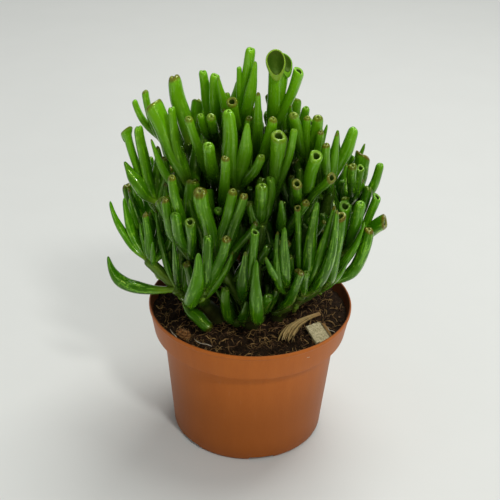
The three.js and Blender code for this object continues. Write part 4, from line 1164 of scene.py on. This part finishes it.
def lay_leaf(leaf, root, bend, tip, chance):
    """A copy of a leaf shape, bent along its line, with its own lumps and its own slanting end."""
    shape = leaf_shapes[leaf["form"]]
    share, slant, _ = TIP_FORMS[leaf["form"]]
    shape_points = places(shape)
    back = -shape_points[:, 2]
    radius = leaf["radius"]
    outer_half = np.linalg.norm(tip - bend)
    length = np.linalg.norm(bend - root) + outer_half
    end_length = 2 * outer_half
    shoulder = min(END_BACK * radius, 0.3 * length)
    near = np.minimum(back, END_BACK) * shoulder / END_BACK / end_length
    at = 1 - near - np.maximum(back - END_BACK, 0) / BODY_BACK * (1 - shoulder / end_length)
    round_it = np.arctan2(shape_points[:, 1], shape_points[:, 0])
    phase = chance.uniform(0, 2 * math.pi, 6)
    lumps = 1 + 0.035 * np.sin(2 * round_it + phase[0] + 2.5 * at)
    lumps += 0.018 * np.sin(3 * round_it + phase[1] - 3 * at)
    lumps += 0.03 * np.sin(7 * at + phase[2]) + 0.018 * np.sin(15 * at + phase[3] + round_it)
    flared = 1.0 if leaf["form"] == "spoon" else share * chance.uniform(0.93, 1.07)
    wide = radius_at(radius, flared, np.clip(at, 0, 1)) * lumps
    flat = 0.88 - (0.2 if leaf["form"] == "blade" else 0.04) * step_between(at, 0.35, 1)
    x, y = shape_points[:, 0] * wide, shape_points[:, 1] * wide * flat
    towards = x * math.sin(leaf["face"]) + y * math.cos(leaf["face"])
    at = at - slant * step_between(at, 0.71, 1) * towards / length
    if leaf["form"] == "spoon":
        lowest = np.clip(towards / (1.3 * wide), 0, 1) ** 3
        at = at - 1.3 * step_between(back, 1.5, 0.3) * lowest * wide / length
    lip = step_between(back, 0.7, 0) * 0.07 * radius
    at = at + lip * (np.sin(2 * round_it + phase[4]) + 0.6 * np.sin(3 * round_it + phase[5])) / length
    sway = 0.16 * radius * np.clip(4 * at * (1 - at), 0, 1)
    x, y = x + sway * np.sin(5 * at + phase[0]), y + sway * np.sin(6.5 * at + phase[3])
    line = lambda at: on_curve(root, bend, tip, at)
    points = laid_along(line, at, x, y)
    piece = copy_of(shape, points * MM)
    reach = np.hypot(shape_points[:, 0], shape_points[:, 1])
    crest = LIPS[leaf["form"]]
    ending = step_between(back, 1.0, 0.4)
    within = step_between(crest - reach, 0.05, 0.2) * (back < 1.4) * ((back < 0.7) | (reach < 0.95))
    mark(
        piece,
        along=np.clip(at, 0, 1),
        rim=step_between(back, 1.5, 0.0),
        crest=LIP_SHOWS[leaf["form"]] * ending * (1 - np.clip(np.abs(reach - crest) / 0.22, 0, 1)),
        within=within if leaf["form"] in ("trumpet", "spoon") else 0.5 * within,
        length=length * at / 10,
        side=np.cos(round_it),
        front=np.sin(round_it),
        deep=depth_in_bush(points),
        tint=chance.random(),
        blush=chance.random(),
        wood=0.0,
    )
    return piece


def lay_stem(stem, chance):
    """A copy of the stem shape along a stem's line, with the rings that fallen leaves have left."""
    shape_points = places(stem_shape)
    at = shape_points[:, 2]
    steps = stem["line"](np.linspace(0, 1, 40))
    length = np.linalg.norm(np.diff(steps, axis=0), axis=1).sum()
    round_it = np.arctan2(shape_points[:, 1], shape_points[:, 0])
    first, last = stem["radii"]
    wide = first + (last - first) * np.clip(at, 0, 1)
    rings = (length * at / RING_SPACING) % 1
    wide = wide * (1 + RING_SWELL * np.exp(-(((rings - 0.5) / 0.13) ** 2)))
    wide = wide * (1 + 0.04 * np.sin(2 * round_it + chance.uniform(0, 6)))
    x, y = shape_points[:, 0] * wide, shape_points[:, 1] * wide
    height = np.where(at > 1, 1 + (at - 1) * STEM_END_LENGTH * last / length, at)
    points = laid_along(stem["line"], height, x, y)
    piece = copy_of(stem_shape, points * MM)
    old = 1 - np.clip(at, 0, 1) * 0.6 if stem["shoot"] < 0 else 0.3 * (1 - np.clip(at, 0, 1))
    mark(
        piece, along=0.0, rim=0.0, crest=0.0, within=0.0, length=length * at / 10, front=np.sin(round_it),
        side=np.cos(round_it), deep=depth_in_bush(points), tint=chance.random(), blush=0.0,
        wood=0.15 + old,
    )
    return piece


# The finish of leaf and stem: thick waxy skin, fresh green over paler flesh. A leaf is yellow-green
# where it leaves the shoot, reddens round its tip, has pale pores, and the stems turn brown with age.
LEAF_GREENS = (0.008, 0.066, 0.001), (0.078, 0.29, 0.002)
LIT_TOP_GREEN = (0.19, 0.5, 0.004)
HIGHLIGHT_STREAK_GREEN = (0.19, 0.47, 0.008)
GLINT_DAPPLE_GREEN = (0.32, 0.6, 0.05)
YOUNG_GREEN = (0.24, 0.4, 0.02)
PORE_GREEN = (0.22, 0.42, 0.05)
END_RED = (0.14, 0.034, 0.008)
LIP_GREEN = (0.34, 0.48, 0.1)
LIP_RED = (0.19, 0.05, 0.012)
HOLLOW_SHADE_GREEN = (0.008, 0.024, 0.001)
STEM_BROWNS = (0.06, 0.034, 0.014), (0.17, 0.115, 0.055)
STEM_GREENS = (0.05, 0.12, 0.008), (0.12, 0.22, 0.012)
INNER_SHADE = (0.006, 0.016, 0.002)
skin, shader, at_mm = new_finish(
    "succulent_skin", Specular_IOR_Level=0.5, Specular_Tint=(0.7, 1.0, 0.15, 1), Coat_Roughness=0.14,
    Coat_Tint=(0.9, 1.0, 0.6, 1),
)
along, rim, crest, within, tint, blush, wood, deep = (
    at_mm.attribute(name)
    for name in ("along", "rim", "crest", "within", "tint", "blush", "wood", "deep")
)
lengthwise = at_mm.node("ShaderNodeCombineXYZ", (), {
    0: at_mm.attribute("side"), 1: at_mm.attribute("front"), 2: at_mm.attribute("length") + tint * 40,
})
streaks = lengthwise.stretched(1.6, 1.6, 0.55).noise(1.5, 4, 0.65)
mottle = at_mm.noise(0.16, 3, 0.6)
dimples = at_mm.noise(0.42, 3, 0.6)
fine_mottle = at_mm.noise(0.9, 3, 0.6)
pores = at_mm.cells(1.15).step(0.2, 0.1) * at_mm.noise(0.5, 2).step(0.42, 0.62)
green = (tint * 0.75 + mottle * 0.5 - 0.17).held().over(*LEAF_GREENS)
# Painted light: leaves turn brighter towards the top of the bush, where the light falls.
green = (at_mm.part("Z").step(140, 225) * 0.8).over(green, LIT_TOP_GREEN)
# Painted highlights: pale streaks along the leaves.
green = (streaks.step(0.5, 0.66) * 0.75).over(green, HIGHLIGHT_STREAK_GREEN)
# Painted glints: pale speckles inside those streaks.
green = (dimples.step(0.54, 0.66) * streaks.step(0.42, 0.6) * 0.6).over(green, GLINT_DAPPLE_GREEN)
green = (along.step(0.3, 0.0) * 0.7).over(green, YOUNG_GREEN)
green = (pores * 0.4).over(green, PORE_GREEN)
red_edge = (rim.step(0.65, 1.0) * blush.step(0.25, 0.9) * (0.4 + fine_mottle * 0.9)).held()
green = (red_edge * 0.85).over(green, END_RED)
green = (crest * (0.25 + fine_mottle * 0.5)).held().over(green, LIP_GREEN)
green = (crest.step(0.55, 1) * blush.step(0.4, 0.9) * 0.7).over(green, LIP_RED)
# Painted shade inside the open ends of trumpets and spoons, and a little in fingers and clubs.
green = (within.step(0.1, 0.8) * 0.9).over(green, HOLLOW_SHADE_GREEN)
bark_brown = fine_mottle.over(*STEM_BROWNS)
stem_green = (tint * 0.5).over(*STEM_GREENS)
stem_colour = (wood.step(0.25, 0.8) * (0.6 + mottle * 0.5)).held().over(stem_green, bark_brown)
feed(
    shader,
    Base_Color=(deep * 0.8).over(wood.step(0.0, 0.1).over(green, stem_colour), INNER_SHADE),
    Roughness=(0.12 + fine_mottle * 0.14 + wood * 0.4 + within * 0.4).held(),
    Coat_Weight=(streaks.step(0.44, 0.6) * 0.85 - wood - within).held(),
    Normal=(streaks * 0.3 + dimples * 0.9 + fine_mottle * 0.2 + pores * 0.1).relief(0.32),
)

for index, (name, *_) in enumerate(CUTTINGS):
    grown = [lay_stem(stem, chance) for stem in stems if stem["cutting"] == index]
    for k, leaf in enumerate(leaves):
        if leaf["cutting"] == index:
            grown.append(lay_leaf(leaf, *laid[k], chance))
    cutting = joined(grown, name.replace("stem_", "leafy_stem_"))
    smooth(cutting, 80)
    dress(cutting, skin)
    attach(cutting, "root")
    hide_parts(name)
for shape in [*leaf_shapes.values(), stem_shape]:
    bpy.data.objects.remove(shape)

# Wood flake
# A flake of pale wood out of the mix, broken square, with a strip of orange bark still on one edge. It
# leans on the peat by the rim.

FLAKE_THICKNESS = 1.8
FLAKE_PLACE = (40, -28.5, 81.2)
FLAKE_TURN = 28
FLAKE_LEAN = 16
BARK_EDGE = 4.1
WOOD_SHADES = (0.44, 0.37, 0.19), (0.8, 0.7, 0.42)
WOOD_SPECKS = (0.09, 0.08, 0.045)
BARK_STRIP = (0.14, 0.08, 0.025), (0.5, 0.27, 0.08)
BROKEN_EDGE = (0.55, 0.42, 0.2)
DARK_GROOVE = (0.03, 0.014, 0.006)

deselect()
bpy.ops.mesh.primitive_cube_add(size=1)
flake = bpy.context.object
flake.name = flake.data.name = "wood_flake"
pick(flake)
bpy.ops.mesh.subdivide(number_cuts=31)
deselect()
u, v, w = (places(flake) + 0.5).T
left = -6 + 0.5 * v + 0.1 * np.sin(17 * v)
right = np.interp(v, (0, 0.77, 1), (5.4, 6.0, 3.3)) + 0.12 * np.sin(23 * v + 1)
front = -7 + 0.5 * u + 0.1 * np.sin(19 * u)
back = 6.3 + 0.7 * u + 0.12 * np.sin(21 * u + 2)
x = left + (right - left) * u
y = front + (back - front) * v
strip = step_between(x, BARK_EDGE, BARK_EDGE + 0.4)
groove = np.exp(-(((x - BARK_EDGE) / 0.35) ** 2))
grain = 0.07 * np.sin(8 * x + 0.8 * np.sin(0.9 * y)) + 0.08 * np.sin(1.7 * x + 2.3 * y)
z = (w - 0.5) * (FLAKE_THICKNESS - 0.2) + (2 * w - 1) * (grain - 0.45 * groove + 0.3 * strip)
flake_points = np.column_stack([x, y, z]) @ turned_by(FLAKE_LEAN, FLAKE_TURN).T
place_at(flake, (flake_points + FLAKE_PLACE) * MM)
mark(flake, strip=strip, groove=groove, edge=step_between(np.abs(2 * w - 1), 0.99, 0.8))
smooth(flake, 50)

flake_finish, shader, at_mm = new_finish("split_wood", Specular_IOR_Level=0.3)
strip, groove, edge = (at_mm.attribute(name) for name in ("strip", "groove", "edge"))
blotches = at_mm.noise(0.9, 4, 0.7)
specks = at_mm.noise(2.6, 3, 0.7)
wood_colour = blotches.step(0.35, 0.65).over(*WOOD_SHADES)
wood_colour = (specks.step(0.55, 0.7) * 0.6).over(wood_colour, WOOD_SPECKS)
bark_orange = specks.over(*BARK_STRIP)
wood_colour = strip.over(wood_colour, bark_orange)
wood_colour = (edge * 0.6).over(wood_colour, BROKEN_EDGE)
feed(
    shader,
    Base_Color=(groove * 0.9).over(wood_colour, DARK_GROOVE),
    Roughness=(0.7 + specks * 0.25).held(),
    Normal=(blotches * 0.5 + specks * 0.5).relief(0.3),
)
dress(flake, flake_finish)
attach(flake, "root")
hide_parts("wood_chip")

# Bark crumb
# A crumb of rusty bark out of the mix: layered, broken all round, and cracked across its layers. It
# lies half sunk in the peat.

BARK_HALF_SIZE = (5.5, 3.75, 3.0)
BARK_PLACE = (-37, -31, 79)
BARK_TURN = -35
BARK_FACES = 9
BARK_RUSTS = (0.06, 0.025, 0.008), (0.3, 0.12, 0.03)
PALE_LAYER = (0.5, 0.26, 0.09)
DARK_CRACK = (0.02, 0.01, 0.005)

deselect()
bpy.ops.mesh.primitive_ico_sphere_add(subdivisions=5, radius=1)
bark = bpy.context.object
bark.name = bark.data.name = "bark_piece"
chance = np.random.default_rng(PEAT_SEED)
points = broken(places(bark), BARK_FACES, 0.6, 0.9, 0.8, chance)
layers = points[:, 2] * 14 + 1.5 * np.sin(3 * points[:, 0] + 1) + np.sin(4 * points[:, 1])
cracks = np.sin(11 * points[:, 0] + 2 * np.sin(5 * points[:, 1]))
points *= (1 + 0.045 * np.sin(layers) + 0.035 * cracks)[:, None]
bark_points = (points * BARK_HALF_SIZE) @ turned_by(0, BARK_TURN).T
place_at(bark, (bark_points + BARK_PLACE) * MM)
mark(bark, layers=np.sin(layers), cracks=cracks)
smooth(bark, 60)

bark_finish, shader, at_mm = new_finish("rusty_bark", Specular_IOR_Level=0.2)
layers, cracks = at_mm.attribute("layers"), at_mm.attribute("cracks")
rough = at_mm.noise(1.1, 4, 0.7)
rust = rough.step(0.3, 0.7).over(*BARK_RUSTS)
rust = (layers.step(0.2, 1) * 0.5).over(rust, PALE_LAYER)
rust = (cracks.step(-0.5, -1) * 0.6).over(rust, DARK_CRACK)
feed(shader, Base_Color=rust, Roughness=(0.8 + rough * 0.2).held(), Normal=rough.relief(0.5))
dress(bark, bark_finish)
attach(bark, "root")
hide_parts("bark_crumb")

# Dry leaf
# A leaf of the plant that has shrivelled and come off: a thin brown husk, arched over the peat, with
# pleats that fan out and fray at its broad end.

HUSK_START = np.array([20, -37.5, 79.6])
HUSK_ARCH = np.array([23, -22, 82.8])
HUSK_END = np.array([41, -6, 79.6])
HUSK_HALF_WIDTH = 3.6
HUSK_THICKNESS = 0.4
HUSK_PLEATS = 5
HUSK_BROWNS = (0.1, 0.07, 0.018), (0.4, 0.26, 0.085)
PLEAT_STRAW = (0.66, 0.46, 0.17)
PLEAT_SHADOW = (0.03, 0.02, 0.008)
MIDDLE_STRAW = (0.7, 0.5, 0.2)
HUSK_TIP = (0.3, 0.14, 0.045)

deselect()
bpy.ops.mesh.primitive_grid_add(x_subdivisions=48, y_subdivisions=90, size=2)
husk = bpy.context.object
husk.name = husk.data.name = "dried_leaf"
side, at, _ = places(husk).T
at = (at + 1) / 2
broad = HUSK_HALF_WIDTH * (1.15 - 0.75 * step_between(at, 0.15, 1))
pleats = np.cos(math.pi * HUSK_PLEATS * side + 1.2 * np.sin(4 * at))
arch = 1.8 * (1 - side * side) * broad / HUSK_HALF_WIDTH
fray = (1 - step_between(at, 0, 0.5)) * (0.5 + 0.5 * np.sin(19 * side + 2 * np.sin(5 * side))) * 0.22
curl = 0.8 * step_between(np.abs(side), 0.75, 1) * (1 - at)
depth = -arch - 0.4 * pleats * (1 - 0.7 * at) - curl
husk_line = lambda at: on_curve(HUSK_START, HUSK_ARCH, HUSK_END, at)
place_at(husk, laid_along(husk_line, at + fray, side * broad * (1 + 0.05 * np.sin(21 * at)), depth) * MM)
mark(husk, pleats=pleats, side=side, along=at)
finish_modifier(husk, "SOLIDIFY", thickness=HUSK_THICKNESS * MM, offset=0)
smooth(husk, 70)

husk_finish, shader, at_mm = new_finish("dry_husk", Specular_IOR_Level=0.4)
pleats, side, along = (at_mm.attribute(name) for name in ("pleats", "side", "along"))
stains = at_mm.noise(0.35, 4, 0.65)
straw_brown = stains.step(0.3, 0.7).over(*HUSK_BROWNS)
straw_brown = (pleats.step(0.2, 1) * 0.6).over(straw_brown, PLEAT_STRAW)
straw_brown = (pleats.step(-0.3, -1) * 0.5).over(straw_brown, PLEAT_SHADOW)
straw_brown = (side.step(0.3, -0.2) * side.step(-0.6, -0.2) * 0.7).over(straw_brown, MIDDLE_STRAW)
feed(
    shader,
    Base_Color=(along.step(0.75, 1) * 0.5).over(straw_brown, HUSK_TIP),
    Roughness=(0.5 + stains * 0.3).held(),
    Normal=(stains * 0.5 + at_mm.noise(1.8, 3) * 0.5).relief(0.3),
)
dress(husk, husk_finish)
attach(husk, "root")
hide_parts("dry_leaf")

# Floor and light
# A sheet of pale grey paper, under a broad soft light from above and behind on the right. Two weaker
# and smaller lights stand in front on the right. None of this is part of the object.

PAPER_GREYS = (0.63, 0.64, 0.605), (0.65, 0.66, 0.625)
SKY_COLOUR = (0.96, 0.98, 1, 1)
SKY_STRENGTH = 0.34
LIGHTS_AIM = (0, 0, 0.1)
LIGHTS = [
    # Each light's name, its place and its size in metres, and its power in watts.
    ("top_light", (0.28, 0.5, 1.5), 0.9, 18.5),
    ("front_light", (0.6, -1.5, 0.6), 0.5, 3),
    ("small_light", (0.4, -0.8, 1.1), 0.15, 5.5),
]

deselect()
bpy.ops.mesh.primitive_plane_add(size=8)
floor = bpy.context.object
floor.name = "paper_floor"
paper, shader, at_mm = new_finish("grey_paper", Roughness=0.9, Specular_IOR_Level=0.2)
feed(shader, Base_Color=at_mm.noise(0.02, 2).over(*PAPER_GREYS))
dress(floor, paper)

world = bpy.data.worlds.new("studio")
bpy.context.scene.world = world
world.use_nodes = True
sky = world.node_tree.nodes["Background"]
sky.inputs["Color"].default_value = SKY_COLOUR
sky.inputs["Strength"].default_value = SKY_STRENGTH
for name, place, size, power in LIGHTS:
    light = bpy.data.lights.new(name, "AREA")
    light.energy, light.size = power, size
    box = bpy.data.objects.new(name, light)
    bpy.context.collection.objects.link(box)
    box.location = place
    box.rotation_euler = (Vector(LIGHTS_AIM) - Vector(place)).to_track_quat("-Z", "Y").to_euler()

# Camera
# It stands a little over half a metre away and looks down on the pot, turned a touch to one side.

RIM = RIM_RADIUS * MM
DISTANCE = 10 * RIM
ELEVATION = math.radians(29.2)
AIM_HEIGHT = 1.97 * RIM
ROLL = math.radians(1.70)
SIDE_SHIFT_PIXELS = 1.8
FRAME = 500
FOCAL_PIXELS = 1037.0
SENSOR = 36
lens = bpy.data.cameras.new("camera")
lens.sensor_width = SENSOR
lens.lens = FOCAL_PIXELS / FRAME * SENSOR
lens.shift_x = -SIDE_SHIFT_PIXELS / FRAME
camera = bpy.data.objects.new("camera", lens)
bpy.context.collection.objects.link(camera)
forward = Vector((0, math.cos(ELEVATION), -math.sin(ELEVATION)))
level = Vector((1, 0, 0))
above = level.cross(forward)
across = level * math.cos(ROLL) + above * math.sin(ROLL)
above = above * math.cos(ROLL) - level * math.sin(ROLL)
stance = Matrix((across, above, -forward)).transposed().to_4x4()
stance.translation = Vector((0, 0, AIM_HEIGHT)) - forward * DISTANCE
camera.matrix_world = stance
bpy.context.scene.camera = camera
bpy.context.scene.view_settings.view_transform = "Standard"
